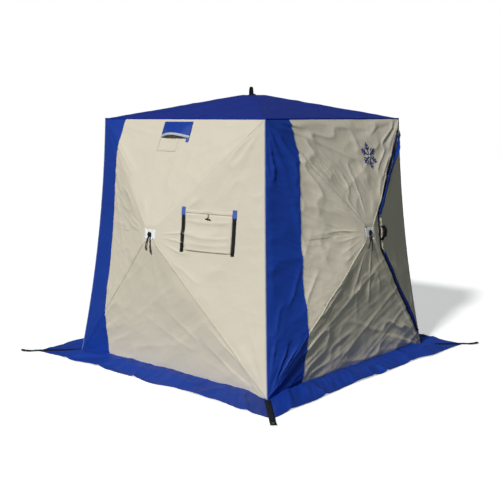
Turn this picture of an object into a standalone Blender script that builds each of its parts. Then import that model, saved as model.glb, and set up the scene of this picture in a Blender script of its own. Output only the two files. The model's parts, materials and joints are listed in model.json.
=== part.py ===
# Pop-up ice fishing shelter: four walls and a roof, each sprung outwards by four rods and a hub.
# The window wall faces -Y, the door wall faces +X, and the ground is z = 0. Metres, +Z up.
import math

import bmesh
import bpy
from mathutils import Matrix, Vector

# Driving sizes of the shelter.
floor_half = 0.900          # half the footprint, at the ground
eave_half = 0.750           # half the roof, at the eaves
eave_height = 1.700
roof_rise = 0.182           # the roof's peak above the eaves
wall_bulge = 0.223          # a wall hub's pop-out from the plane through the wall's corners
edge_bow = 0.026            # how far the corner seams are drawn in at mid height, in x and in y
seam_knots = 6              # straight stretches along one bowed corner seam
cloth = 0.002               # thickness of the shell
seam_gap = 0.0026           # a panel stops this far short of the corner line
hem_height = 0.006          # bottom of the walls above the ground
flat_share = 0.078          # middle part of each panel that lies flat on the hub
gap = 0.0008                # clearance between touching pieces

# Frame.
top_core_half = 0.722
top_core_height = 1.664
bottom_core_height = 0.070
pin_out = 0.050             # hinge pin of a rod from the middle of its corner knuckle
hub_pin_out = 0.048         # pin of a rod from the axis of its hub
rod_radius = 0.0055
tongue_half = (0.004, 0.007)    # half width and half height of a rod's flat end
eye_span = (-0.007, 0.030)  # a rod's flat end, before and after its corner pin
fork_span = (-0.042, 0.008)     # and before and after its hub pin
ferrule_lap = 0.008         # how far the round rod runs into its flat ends
pin_clearance = 0.0004
channel_half = 0.005        # half width of the slots that take the flat ends
hub_radius = 0.057
hub_roof = 0.011            # from a hub's pins up to its plate
hub_plate = 0.005
hub_pin_radius = 0.002
knuckle_pin_radius = 0.003
slot_half = 0.0042
slot_end = 0.0035           # how far a hub slot runs past the pin
slot_travel = 0.031         # how far a rod's end can pass its hub pin while the hub goes over centre
neck_radius = 0.006         # the hub's bolt where it passes through the cloth
cap_radius = 0.017
cap_thick = 0.004
cap_gap = 0.0035            # room for the pull strap under the cap
bolt_head = 0.005
bolt_hole_radius = 0.011    # hole in the cloth around the neck
core_radius = 0.015         # round middle of a knuckle
core_half_height = 0.014
fork_block = ((0.006, -0.010, -0.011), (0.010, 0.010, 0.011))   # its far end is past the pin
fork_slot = ((-0.016, -0.0045, -0.012), (0.012, 0.0045, 0.012))     # both ends from the pin
post_radius = 0.012         # a bottom knuckle's post and its round foot
foot_radius = 0.026
foot_thick = 0.005

# Skirt and straps.
skirt_half = 1.125
skirt_wave = 0.010
skirt_thick = 0.0025
strap_thick = 0.002
stake_strap_width = 0.038
stake_strap_start = 0.012   # x and y of its inner end, past the foot of the corner
stake_strap_end = 1.215     # x and y of its outer end
stake_strap_drop = 0.030    # run over which it comes down to the ground
stake_eyelet = (0.006, 0.030)   # radius, and place from the outer end
pull_strap_width = 0.028
pull_strap_length = 0.130
pull_strap_eye = 0.0072
strap_seat = 0.0007         # a pull strap above the cloth
loop_half = 0.024           # half width of the roof's carrying loop
loop_height = 0.060
loop_thick = 0.003

# Door, on the right half of the door wall. Distances are from the rods' creases.
door_lap = 0.040            # edge of the door panel
door_hole = 0.055           # edge of the door way
door_hinge_out = 0.060      # from the corner seam to the panel
door_way_in = 0.015         # the door way ends this much further from the seam
door_tips = (0.175, 0.210)  # x of the hub end of the panel and of the door way
hinge_draw = 0.017          # the line that the cloth turns about, in from the corners
zip_band = (0.012, 0.036)   # the zip tape
zip_tips = (0.130, 0.154)   # x of the tape's short run beside the hub
zip_seam_end = 0.050        # its ends, from the corner seam
zip_steps = 6
zip_thick = 0.0015
zip_top = 0.0030            # underside of a slider above the cloth
slider_park = 0.160         # x of both sliders with the door shut
storm_flap_span = (0.185, 0.655)    # x of its ends
storm_flap_rows = [(0.064, 0.0036), (0.046, 0.005), (0.026, 0.013), (0.003, 0.012)]  # from crease, lift

# Window, on the right half of the window wall, as x and height on the wall.
window_left = 0.235
window_right = 0.600
window_top = 0.158
window_bottom = -0.078
window_middle = 0.040
window_hem = (0.004, 0.028) # the strip above the flap, up from its top edge
window_way_in = 0.030       # the opening in the wall, in from the tape's outer edge
window_way_ends = (0.020, 0.030)    # and in from the window's bottom and top
window_slack = 0.0012       # between the flap and the tape beside it
pane_thick = 0.0008
pane_margins = (0.006, 0.016)   # at the bottom and the top
pane_drop = 0.0022          # under the inside of the wall
tape_width = 0.024
slider_rise = 0.014         # a window slider above the bottom

# Vent, under the eave of the window wall.
vent_left = -0.115
vent_right = 0.150
vent_top = 0.744
vent_bottom = 0.640
vent_way_in = 0.030         # the opening, in from the hood's sides and top
vent_way_low = 0.012
screen_margins = (0.022, 0.004) # at the sides and top, and at the bottom
screen_thick = 0.001
screen_drop = 0.002
hood_reach = 0.045
hood_seat = 0.002           # the hood's sewn edge above the cloth
hood_arch = 0.12            # how much shorter the hood is at its middle
hood_grid = (4, 8)          # steps down and across

lean = math.atan2(floor_half - eave_half, eave_height)
bottom_core_half = top_core_half + (top_core_height - bottom_core_height) * math.tan(lean)
cross_share = bottom_core_half / (bottom_core_half + top_core_half)
axis_height = bottom_core_height + cross_share * (top_core_height - bottom_core_height)
axis_half = bottom_core_half - (axis_height - bottom_core_height) * math.tan(lean)
wall_base = (floor_half - axis_height * math.tan(lean) - axis_half) * math.cos(lean)
roof_base = eave_height - top_core_height

wall_names = ["front", "right", "back", "left"]
corner_names = ["front_right", "back_right", "back_left", "front_left"]

royal = (0.010, 0.045, 0.290)
sand = (0.700, 0.640, 0.520)


def clear_scene():
    for item in list(bpy.data.objects):
        bpy.data.objects.remove(item, do_unlink=True)


def material(name, colour, roughness, metallic=0.0, alpha=1.0):
    made = bpy.data.materials.new(name)
    made.use_nodes = True
    shader = made.node_tree.nodes["Principled BSDF"]
    shader.inputs["Base Color"].default_value = (*colour, 1.0)
    shader.inputs["Roughness"].default_value = roughness
    shader.inputs["Metallic"].default_value = metallic
    shader.inputs["Alpha"].default_value = alpha
    return made


def mesh_from(name, points, faces):
    """A mesh with its faces turned outwards."""
    mesh = bpy.data.meshes.new(name)
    mesh.from_pydata([tuple(p) for p in points], [], faces)
    built = bmesh.new()
    built.from_mesh(mesh)
    bmesh.ops.recalc_face_normals(built, faces=built.faces)
    built.to_mesh(mesh)
    built.free()
    return mesh


def add_object(name, mesh, look, place=None):
    made = bpy.data.objects.new(name, mesh)
    bpy.context.scene.collection.objects.link(made)
    if place is not None:
        made.matrix_world = place
    if not mesh.materials:
        mesh.materials.append(look)
    return made


def joint_empty(name, low, high):
    """An empty on a hinge's axis, with its z along the axis from one point to the other."""
    low = Vector(low)
    along = Vector(high) - low
    made = bpy.data.objects.new(name, None)
    bpy.context.scene.collection.objects.link(made)
    turn = along.to_track_quat("Z", "Y").to_matrix().to_4x4()
    made.matrix_world = Matrix.Translation(low + along / 2) @ turn
    return made


def hang(items, empty):
    """Parent pieces to a joint's empty and leave them where they are."""
    bpy.context.view_layer.update()
    for item in items:
        place = item.matrix_world.copy()
        item.parent = empty
        item.matrix_parent_inverse = empty.matrix_world.inverted()
        item.matrix_world = place


def move_origin(item, point):
    """Put the object's origin at a world point and leave its shape where it is."""
    item.data.transform(Matrix.Translation(item.matrix_world.inverted() @ Vector(point)).inverted())
    item.matrix_world = Matrix.Translation(Vector(point)) @ item.matrix_world.to_3x3().to_4x4()


def prism(outline, low, high):
    """An outline in x and y, drawn out from z = low to z = high."""
    count = len(outline)
    points = [(x, y, z) for z in (low, high) for x, y in outline]
    sides = [(k, (k + 1) % count, count + (k + 1) % count, count + k) for k in range(count)]
    return mesh_from("prism", points, sides + [tuple(range(count)), tuple(range(count, 2 * count))])


def box(low, high):
    outline = [(low[0], low[1]), (high[0], low[1]), (high[0], high[1]), (low[0], high[1])]
    return prism(outline, low[2], high[2])


def circle(radius, count, middle=(0.0, 0.0)):
    turns = [2 * math.pi * (k + 0.5) / count for k in range(count)]
    return [(middle[0] + radius * math.cos(t), middle[1] + radius * math.sin(t)) for t in turns]


def combine(base, tools):
    """Join or cut meshes exactly. Each tool is a mesh, where it goes, and UNION or DIFFERENCE."""
    work = bpy.data.objects.new("work", base)
    bpy.context.scene.collection.objects.link(work)
    for tool, place, operation in tools:
        other = bpy.data.objects.new("tool", tool)
        bpy.context.scene.collection.objects.link(other)
        other.matrix_world = place
        step = work.modifiers.new("step", "BOOLEAN")
        step.solver = "EXACT"
        step.operation = operation
        step.object = other
        bpy.context.view_layer.update()
        result = bpy.data.meshes.new_from_object(work.evaluated_get(bpy.context.evaluated_depsgraph_get()))
        work.modifiers.remove(step)
        work.data = result
        bpy.data.objects.remove(other, do_unlink=True)
    mesh = work.data
    bpy.data.objects.remove(work, do_unlink=True)
    return mesh


def axes_at(origin, x_axis, y_axis):
    """A placement whose x and y run along two square directions."""
    x_axis = Vector(x_axis).normalized()
    y_axis = Vector(y_axis).normalized()
    z_axis = x_axis.cross(y_axis)
    turn = Matrix((x_axis, y_axis, z_axis)).transposed().to_4x4()
    return Matrix.Translation(Vector(origin)) @ turn


def side_place(side):
    """A wall's own axes: x along it, y up its slope, z outwards, from the middle of its rods' plane."""
    up = (0.0, math.sin(lean), math.cos(lean))
    front = axes_at((0.0, -axis_half, axis_height), (1.0, 0.0, 0.0), up)
    return Matrix.Rotation(math.radians(90 * side), 4, "Z") @ front


def roof_place():
    return Matrix.Translation((0.0, 0.0, top_core_height))


def wall_height(level, out):
    """The wall's own y of a point at a height above the ground, out from the rods' plane."""
    return (level - axis_height - out * math.sin(lean)) / math.cos(lean)


def bowed_seam(low, high):
    """A corner seam from its lower to its upper end, drawn towards the shelter's middle."""
    seam = []
    for k in range(seam_knots + 1):
        t = k / seam_knots
        draw = edge_bow * 4 * t * (1 - t)
        x = low[0] + t * (high[0] - low[0]) - draw
        y = low[1] + t * (high[1] - low[1]) + draw * math.sin(lean)
        seam.append((x, y, wall_base - draw * math.cos(lean)))
    return seam


def wall_rim():
    """The rim of a wall as x, y and distance out, round from its lower right corner."""
    top = wall_height(eave_height - seam_gap, wall_base)
    foot = wall_height(hem_height, wall_base)
    right = bowed_seam((floor_half - seam_gap, foot), (eave_half - seam_gap, top))
    left = [(-x, y, out) for x, y, out in reversed(right)]
    return right + left


def roof_rim():
    half = eave_half - seam_gap
    return [(x * half, y * half, roof_base) for x, y in ((1, -1), (1, 1), (-1, 1), (-1, -1))]


def cloth_out(x, y):
    """Outer face of a wall at x, y in its own axes: flat on the hub, then straight to the rim."""
    flat = wall_base + wall_bulge * (1 - flat_share)
    rim = wall_rim()
    for k, (ax, ay, a_out) in enumerate(rim):
        bx, by, b_out = rim[(k + 1) % len(rim)]
        area = ax * by - ay * bx
        along_a = (x * by - y * bx) / area
        along_b = (ax * y - ay * x) / area
        share = along_a + along_b
        if min(along_a, along_b) >= -1e-9 and share > flat_share:
            rim_out = (along_a * a_out + along_b * b_out) / share
            return flat + (rim_out - flat) * (share - flat_share) / (1 - flat_share)
    return flat


def cloth_normal(x, y):
    """Which way the wall's cloth faces at x, y."""
    step = 0.002
    rise_x = (cloth_out(x + step, y) - cloth_out(x - step, y)) / (2 * step)
    rise_y = (cloth_out(x, y + step) - cloth_out(x, y - step)) / (2 * step)
    return Vector((-rise_x, -rise_y, 1.0)).normalized()


def lying_on_cloth(near, far, lift):
    """A placement on the wall's cloth at one point, with its x towards another."""
    start = Vector((*near, cloth_out(*near)))
    run = Vector((*far, cloth_out(*far))) - start
    out = cloth_normal(*near)
    run = (run - out * run.dot(out)).normalized()
    return axes_at(start + out * lift, run, out.cross(run))


def shell_mesh(rim, flat):
    """A shallow tent of cloth over a rim, flat on its hub, with a hole for the hub's bolt."""
    count = len(rim)
    points = []
    for drop in (0.0, cloth):
        points += [(x, y, out - drop) for x, y, out in rim]
        points += [(x * flat_share, y * flat_share, flat - drop) for x, y, _ in rim]
        for x, y, _ in rim:
            scale = bolt_hole_radius / math.hypot(x, y)
            points.append((x * scale, y * scale, flat - drop))
    faces = []
    for k in range(count):
        n = (k + 1) % count
        for layer in (0, 3 * count):
            for ring in (0, count):
                start = layer + ring
                faces.append((start + k, start + n, start + count + n, start + count + k))
        for ring in (0, 2 * count):
            faces.append((ring + k, ring + n, 3 * count + ring + n, 3 * count + ring + k))
    return mesh_from("shell", points, faces)


def wall_shell():
    return shell_mesh(wall_rim(), wall_base + wall_bulge * (1 - flat_share))


def grid_mesh(rows, thick):
    """A sheet over rows of points (x, y, height), thickened upwards from them."""
    across = len(rows[0])
    low = [p for row in rows for p in row]
    points = low + [(x, y, z + thick) for x, y, z in low]
    layer = len(low)
    faces = []
    for r in range(len(rows) - 1):
        for c in range(across - 1):
            corner = r * across + c
            beyond = corner + across
            for half in ((corner, corner + 1, beyond + 1), (corner, beyond + 1, beyond)):
                faces.append(half)
                faces.append(tuple(layer + p for p in half))
    rim = list(range(across))
    rim += [r * across + across - 1 for r in range(1, len(rows))]
    rim += [layer - 1 - c for c in range(1, across)]
    rim += [r * across for r in range(len(rows) - 2, 0, -1)]
    for k, a in enumerate(rim):
        b = rim[(k + 1) % len(rim)]
        faces.append((a, b, layer + b, layer + a))
    return mesh_from("sheet", points, faces)


def even_run(ends, steps):
    """Points at even steps along straight runs from each end to the next."""
    points = [ends[0]]
    for a, b in zip(ends, ends[1:]):
        points += [tuple(Vector(a).lerp(Vector(b), k / steps)) for k in range(1, steps + 1)]
    return points


def on_cloth(points, lift):
    return [(x, y, cloth_out(x, y) + lift) for x, y in points]


def crease_corner(upper):
    """The rim's right corner that the upper or the lower rod points to."""
    rim = wall_rim()
    return Vector((rim[seam_knots] if upper else rim[0])[:2])


def beside_crease(upper, offset, x):
    """The point at x on a line beside a rod's crease, offset towards the middle of the door."""
    corner = crease_corner(upper)
    way = corner.normalized()
    side = Vector((way.y, -way.x)) if upper else Vector((-way.y, way.x))
    start = side * offset
    return tuple(start + way * ((x - start.x) / way.x))


def beside_seam(offset, y):
    """The point at y on a line beside the bowed right corner seam."""
    seam = wall_rim()[:seam_knots + 1]
    for low, high in zip(seam, seam[1:]):
        if y <= high[1] or high is seam[-1]:
            t = (y - low[1]) / (high[1] - low[1])
            return (low[0] + t * (high[0] - low[0]) - offset, y)


def door_edge_ends(offset, seam_offset):
    """Where a line beside each crease meets the line beside the seam, lower end first."""
    ends = []
    for upper in (False, True):
        x = 0.7
        for _ in range(20):
            y = beside_crease(upper, offset, x)[1]
            x = beside_seam(seam_offset, y)[0]
        ends.append((x, y))
    return ends


def door_outline(offset, seam_offset, tip):
    """Rows of two points, from the hub side to the seam side, between the two creases."""
    low_end, high_end = door_edge_ends(offset, seam_offset)
    seam_side = [beside_seam(seam_offset, low_end[1] + (high_end[1] - low_end[1]) * k / seam_knots)
                 for k in range(seam_knots + 1)]
    seam_side[0] = low_end
    seam_side[-1] = high_end
    hub_side = even_run([beside_crease(upper, offset, tip) for upper in (False, True)], seam_knots)
    return hub_side, seam_side


def rod_mesh(length):
    """A rod along x between its two pins: an eye on the corner pin, a slot on the hub pin."""
    half_width, half_height = tongue_half
    tube = prism(circle(rod_radius, 8), eye_span[1] - ferrule_lap, length + fork_span[0] + ferrule_lap)
    tube.transform(Matrix.Rotation(math.radians(90), 4, "Y"))
    eye = box((eye_span[0], -half_width, -half_height), (eye_span[1], half_width, half_height))
    fork_ends = [length + end for end in fork_span]
    fork = box((fork_ends[0], -half_width, -half_height), (fork_ends[1], half_width, half_height))
    through = 2.5 * half_width
    hole = prism(circle(knuckle_pin_radius + pin_clearance, 10), -through, through)
    slot = box((length - slot_travel, -through, -slot_half), (length + slot_end, through, slot_half))
    upright = Matrix.Rotation(math.radians(90), 4, "X")
    here = Matrix.Identity(4)
    return combine(tube, [
        (eye, here, "UNION"),
        (fork, here, "UNION"),
        (hole, upright, "DIFFERENCE"),
        (slot, here, "DIFFERENCE"),
    ])


def hub_mesh():
    """A hub with its pins at z = 0: plate, four ribs, four cross pins, neck, cap and bolt head."""
    here = Matrix.Identity(4)
    body = prism(circle(hub_radius, 24), -hub_roof, hub_roof + hub_plate)
    reach = hub_radius * 1.2
    tools = []
    for turn in (45, 135):
        channel = box((-reach, -channel_half, -hub_roof - 0.001), (reach, channel_half, hub_roof))
        tools.append((channel, Matrix.Rotation(math.radians(turn), 4, "Z"), "DIFFERENCE"))
    for quarter in range(4):
        pin = prism(circle(hub_pin_radius, 8), -channel_half - 0.002, channel_half + 0.002)
        pin.transform(Matrix.Rotation(math.radians(90), 4, "X"))
        turn = Matrix.Rotation(math.radians(45 + 90 * quarter), 4, "Z")
        tools.append((pin, turn @ Matrix.Translation((hub_pin_out, 0, 0)), "UNION"))
    top = hub_roof + hub_plate
    cap_low = top + gap + cloth + cap_gap
    cap_high = cap_low + cap_thick
    neck = prism(circle(neck_radius, 10), top - hub_plate / 2, cap_low + cap_thick / 2)
    bolt = prism(circle(neck_radius, 6), cap_high - 0.2 * bolt_head, cap_high + 0.8 * bolt_head)
    tools.append((neck, here, "UNION"))
    tools.append((prism(circle(cap_radius, 16), cap_low, cap_high), here, "UNION"))
    tools.append((bolt, here, "UNION"))
    return combine(body, tools)


def clevis_parts(toward, normal):
    """A fork on a knuckle for one rod: block, slot and pin, with the rod's way along x."""
    place = axes_at((0, 0, 0), toward, Vector(normal).cross(Vector(toward)))
    near, far = fork_block
    block = box(near, (pin_out + far[0], far[1], far[2]))
    near, far = fork_slot
    slot = box((pin_out + near[0], near[1], near[2]), (pin_out + far[0], far[1], far[2]))
    pin_half = far[1] + 0.002
    pin = prism(circle(knuckle_pin_radius, 8), -pin_half, pin_half)
    pin.transform(Matrix.Rotation(math.radians(90), 4, "X"))
    return block, slot, pin, place


def knuckle_mesh(ways, foot):
    """A corner knuckle around its own middle, with a fork for each way (direction, plane normal)."""
    here = Matrix.Identity(4)
    core = prism(circle(core_radius, 12), -core_half_height, core_half_height)
    forks = [clevis_parts(way, normal) for way, normal in ways]
    tools = [(block, place, "UNION") for block, _, _, place in forks]
    tools += [(slot, place, "DIFFERENCE") for _, slot, _, place in forks]
    tools += [(pin, place @ Matrix.Translation((pin_out, 0, 0)), "UNION") for _, _, pin, place in forks]
    if foot:
        ground = -bottom_core_height
        tools.append((prism(circle(post_radius, 12), ground + 0.8 * foot_thick, 0.0), here, "UNION"))
        tools.append((prism(circle(foot_radius, 16), ground, ground + foot_thick), here, "UNION"))
    return combine(core, tools)


def wall_core(right, upper):
    """Middle of a knuckle in a wall's own axes."""
    sign = 1 if right else -1
    half = top_core_half if upper else bottom_core_half
    level = top_core_height if upper else bottom_core_height
    return Vector((sign * half, wall_height(level, 0.0), 0.0))


def rod_ways(core, hub_out):
    """In a panel's own axes: the rod's corner pin, its way to the hub pin, and its length."""
    flat_way = Vector((-core.x, -core.y, 0.0)).normalized()
    corner_pin = core + flat_way * pin_out
    hub_pin = -flat_way * hub_pin_out + Vector((0.0, 0.0, hub_out))
    return corner_pin, (hub_pin - corner_pin), flat_way


def hub_out(base, rise):
    """Height of a hub's pins above the rods' plane."""
    return base + rise * (1 - flat_share) - cloth - gap - hub_plate - hub_roof


def add_rods_and_hub(name, place, cores, out, meshes, looks):
    for label, core in cores:
        corner_pin, run, flat_way = rod_ways(core, out)
        length = run.length
        key = round(length, 6)
        if key not in meshes:
            meshes[key] = rod_mesh(length)
        hinge_axis = Vector((0, 0, 1)).cross(flat_way)
        local = axes_at(corner_pin, run, hinge_axis)
        add_object(f"rod_{name}_{label}", meshes[key], looks["rod"], place @ local)
    add_object(f"hub_{name}", meshes["hub"], looks["hub"], place @ Matrix.Translation((0, 0, out)))


def add_frame(looks):
    meshes = {"hub": hub_mesh()}
    wall_out = hub_out(wall_base, wall_bulge)
    for side, name in enumerate(wall_names):
        place = side_place(side)
        cores = []
        for height, upper in (("upper", True), ("lower", False)):
            for hand, right in (("left", False), ("right", True)):
                cores.append((f"{height}_{hand}", wall_core(right, upper)))
        add_rods_and_hub(name, place, cores, wall_out, meshes, looks)
    roof_cores = []
    for k, corner in enumerate(corner_names):
        turn = Matrix.Rotation(math.radians(90 * k), 3, "Z")
        roof_cores.append((corner, turn @ Vector((top_core_half, -top_core_half, 0.0))))
    add_rods_and_hub("roof", roof_place(), roof_cores, hub_out(roof_base, roof_rise), meshes, looks)


def add_knuckles(looks):
    """The front right corner's two knuckles, and their copies turned to the other corners."""
    front = side_place(0).to_3x3()
    right = side_place(1).to_3x3()
    top_front = front @ -wall_core(True, True).normalized()
    top_right = right @ -wall_core(False, True).normalized()
    low_front = front @ -wall_core(True, False).normalized()
    low_right = right @ -wall_core(False, False).normalized()
    roof_way = Vector((-1.0, 1.0, 0.0)).normalized()
    top = knuckle_mesh([
        (top_front, front.col[2]),
        (top_right, right.col[2]),
        (roof_way, Vector((0, 0, 1))),
    ], foot=False)
    low = knuckle_mesh([(low_front, front.col[2]), (low_right, right.col[2])], foot=True)
    for k, corner in enumerate(corner_names):
        turn = Matrix.Rotation(math.radians(90 * k), 4, "Z")
        top_at = Matrix.Translation((top_core_half, -top_core_half, top_core_height))
        low_at = Matrix.Translation((bottom_core_half, -bottom_core_half, bottom_core_height))
        add_object(f"knuckle_top_{corner}", top, looks["knuckle"], turn @ top_at)
        add_object(f"knuckle_bottom_{corner}", low, looks["knuckle"], turn @ low_at)


def cut_wall(*outlines):
    """A wall's shell with openings, whose outlines are in the wall's x and y."""
    here = Matrix.Identity(4)
    return combine(wall_shell(), [(prism(outline, -0.1, 0.4), here, "DIFFERENCE") for outline in outlines])


def door_way():
    hub_side, seam_side = door_outline(door_hole, door_hinge_out + door_way_in, door_tips[1])
    return hub_side[:1] + seam_side + hub_side[-1:]


def window_way():
    left = window_left + window_way_in
    right = window_right - window_way_in
    low = window_bottom + window_way_ends[0]
    high = window_top - window_way_ends[1]
    return [(left, low), (right, low), (right, high), (left, high)]


def vent_way():
    left = vent_left + vent_way_in
    right = vent_right - vent_way_in
    low = vent_bottom + vent_way_low
    high = vent_top - vent_way_in
    return [(left, low), (right, low), (right, high), (left, high)]


def add_cloth(looks):
    plain = wall_shell()
    shells = [cut_wall(window_way(), vent_way()), cut_wall(door_way()), plain, plain]
    for side, name in enumerate(wall_names):
        add_object(f"wall_{name}", shells[side], looks["wall"], side_place(side))
    roof = shell_mesh(roof_rim(), roof_base + roof_rise * (1 - flat_share))
    add_object("roof_cover", roof, looks["roof"], roof_place())


def add_door(looks):
    place = side_place(1)
    hub_side, seam_side = door_outline(door_lap, door_hinge_out, door_tips[0])
    steps = 4
    ribs = [even_run(ends, steps) for ends in zip(hub_side, seam_side)]
    rows = [on_cloth([rib[step] for rib in ribs], gap) for step in range(steps + 1)]
    panel = add_object("door_panel", grid_mesh(rows, cloth), looks["panel"], place)

    tape_rows = []
    for offset, tip in zip(zip_band, zip_tips):
        low_end, high_end = door_edge_ends(offset, zip_seam_end)
        low_tip, high_tip = [beside_crease(upper, offset, tip) for upper in (False, True)]
        tape_rows.append(on_cloth(even_run([low_end, low_tip, high_tip, high_end], zip_steps), gap))
    tape = add_object("door_zip_tape", grid_mesh(tape_rows, zip_thick), looks["zip"], place)

    flap_rows = []
    for offset, lift in storm_flap_rows:
        ends = [beside_crease(True, offset, x) for x in storm_flap_span]
        flap_rows.append(on_cloth(even_run(ends, 6), lift))
    flap = add_object("door_storm_flap", grid_mesh(flap_rows, cloth), looks["flap"], place)

    sliders = []
    middle = sum(zip_band) / 2
    for upper, label in ((True, "upper"), (False, "lower")):
        parked = beside_crease(upper, middle, slider_park)
        seam_end = door_edge_ends(middle, zip_seam_end)[1 if upper else 0]
        on_zip = lying_on_cloth(parked, seam_end, zip_top)
        sliders.append(add_object(f"door_slider_{label}", slider_mesh(), looks["slider"], place @ on_zip))

    low, high = seam_hinge()
    door_side = joint_empty("door_side_axis", place @ low, place @ high)
    door_swing = joint_empty("door_swing_axis", place @ low, place @ high)
    hang([door_swing, tape] + sliders, door_side)
    hang([panel, flap], door_swing)


def seam_hinge():
    """The straight line nearest to the right corner seam, which the cloth beside it turns about."""
    seam = wall_rim()[:seam_knots + 1]
    shift = Vector((-hinge_draw, 0.0, -hinge_draw))
    return Vector(seam[0]) + shift, Vector(seam[-1]) + shift


def slider_mesh():
    """A zip slider with its pull lying back along it, on z = 0."""
    body = box((-0.011, -0.007, 0.0), (0.011, 0.007, 0.005))
    pull = box((-0.004, -0.0035, 0.0045), (0.030, 0.0035, 0.0065))
    return combine(body, [(pull, Matrix.Identity(4), "UNION")])


def add_window(looks):
    place = side_place(0)
    hem_low = window_top + window_hem[0]
    hem_high = window_top + window_hem[1]
    inner_left = window_left + tape_width
    inner_right = window_right - tape_width
    frame_rows = []
    for left, right, hem in ((window_left, window_right, hem_high), (inner_left, inner_right, hem_low)):
        run = [(left, window_bottom), (left, window_middle), (left, hem)]
        run += [(right, hem), (right, window_middle), (right, window_bottom)]
        frame_rows.append(on_cloth(run, gap))
    fixed = [add_object("window_zip_frame", grid_mesh(frame_rows, zip_thick), looks["zip"], place)]

    left = inner_left + window_slack
    right = inner_right - window_slack
    flap = add_object("window_flap", on_wall_rectangle(left, right, window_bottom, window_top - window_slack,
                                                       gap, cloth), looks["panel"], place)
    pane = on_wall_rectangle(left, right, window_bottom + pane_margins[0], window_top - pane_margins[1],
                             -cloth - pane_drop, pane_thick)
    fixed.append(add_object("window_pane", pane, looks["pane"], place))

    for label, x in (("left", window_left + tape_width / 2), ("right", window_right - tape_width / 2)):
        on_zip = lying_on_cloth((x, window_bottom + slider_rise), (x, window_top), zip_top)
        fixed.append(add_object(f"window_slider_{label}", slider_mesh(), looks["slider"], place @ on_zip))

    low, high = seam_hinge()
    window_side = joint_empty("window_side_axis", place @ low, place @ high)
    hinge_y = window_top + window_slack
    hem = on_cloth([(inner_right, hinge_y), (inner_left, hinge_y)], gap + cloth / 2)
    window_swing = joint_empty("window_swing_axis", place @ Vector(hem[0]), place @ Vector(hem[1]))
    hang(fixed + [window_swing], window_side)
    hang([flap], window_swing)


def on_wall_rectangle(left, right, low, high, lift, thick):
    """A rectangular sheet lying along the cloth."""
    levels = [y for _, y in even_run([(left, low), (left, high)], 3)]
    return grid_mesh([on_cloth(even_run([(left, y), (right, y)], 6), lift) for y in levels], thick)


def add_vent(looks):
    place = side_place(0)
    rows = []
    for r in range(hood_grid[0] + 1):
        down = r / hood_grid[0]
        row = []
        for c in range(hood_grid[1] + 1):
            t = c / hood_grid[1]
            arch = math.sin(math.pi * t)
            x = vent_left + (vent_right - vent_left) * t
            y = vent_top - (vent_top - vent_bottom) * down * (1 - hood_arch * arch)
            lift = hood_seat + hood_reach * arch * down ** 0.8
            row.append((x, y, cloth_out(x, y) + lift))
        rows.append(row)
    hood = add_object("vent_hood", grid_mesh(rows, cloth), looks["hood"], place)

    margin, low_margin = screen_margins
    screen_shape = on_wall_rectangle(vent_left + margin, vent_right - margin, vent_bottom + low_margin,
                                     vent_top - margin, -cloth - screen_drop, screen_thick)
    screen = add_object("vent_screen", screen_shape, looks["mesh"], place)

    eave = wall_height(eave_height - seam_gap, wall_base)
    reach = eave_half / 2
    vent_side = joint_empty("vent_side_axis", place @ Vector((reach, eave, wall_base)),
                            place @ Vector((-reach, eave, wall_base)))
    hem = on_cloth([(vent_right, vent_top), (vent_left, vent_top)], hood_seat + cloth / 2)
    hood_swing = joint_empty("hood_swing_axis", place @ Vector(hem[0]), place @ Vector(hem[1]))
    hang([screen, hood_swing], vent_side)
    hang([hood], hood_swing)


def tab_mesh(width, length):
    """A doubled webbing tab with a hole for a hub's neck at the origin, hanging along -y."""
    half = width / 2
    crown = 0.86 * half
    outline = [(half, 0.0), (0.6 * half, crown), (-0.6 * half, crown), (-half, 0.0)]
    outline += [(-half, -length), (half, -length)]
    tab = prism(outline, 0.0, strap_thick)
    hole = prism(circle(pull_strap_eye, 12), -strap_thick, 2 * strap_thick)
    return combine(tab, [(hole, Matrix.Identity(4), "DIFFERENCE")])


def add_pull_straps(looks):
    mesh = tab_mesh(pull_strap_width, pull_strap_length)
    rest = hub_roof + hub_plate + gap + cloth + strap_seat
    for side, name in enumerate(wall_names):
        level = hub_out(wall_base, wall_bulge) + rest
        add_object(f"pull_strap_{name}", mesh, looks["webbing"],
                   side_place(side) @ Matrix.Translation((0, 0, level)))
    tab = loop_thick + 0.023
    flat = tab_mesh(pull_strap_width, tab)
    upright = box((-loop_half, -tab, 0.0), (loop_half, loop_thick - tab, loop_height))
    loop = combine(flat, [(upright, Matrix.Identity(4), "UNION")])
    level = hub_out(roof_base, roof_rise) + rest
    add_object("pull_strap_roof", loop, looks["webbing"], roof_place() @ Matrix.Translation((0, 0, level)))


def add_skirt(looks):
    """One flat apron round the foot of the walls, with a gently waved outer edge."""
    inner_half = floor_half - 1.5 * cloth
    per_side = 12
    points = []
    for side in range(4):
        turn = Matrix.Rotation(math.radians(90 * side), 2)
        for k in range(per_side):
            t = k / per_side
            wave = skirt_wave * math.sin(5 * math.pi * t) * math.sin(math.pi * t)
            outer = turn @ Vector((skirt_half * (2 * t - 1), -skirt_half + wave))
            inner = turn @ Vector((inner_half * (2 * t - 1), -inner_half))
            points.append((outer, inner))
    rows = [[(outer.x, outer.y, 0.0), (inner.x, inner.y, 0.0)] for outer, inner in points]
    count = len(rows)
    flat = [p for row in rows for p in row]
    solid = flat + [(x, y, skirt_thick) for x, y, _ in flat]
    faces = []
    for k in range(count):
        n = (k + 1) % count
        quad = (2 * k, 2 * n, 2 * n + 1, 2 * k + 1)
        faces.append(quad)
        faces.append(tuple(2 * count + p for p in quad))
        for edge in (0, 1):
            a = 2 * k + edge
            b = 2 * n + edge
            faces.append((a, b, 2 * count + b, 2 * count + a))
    add_object("skirt", mesh_from("skirt", solid, faces), looks["skirt"])


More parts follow.
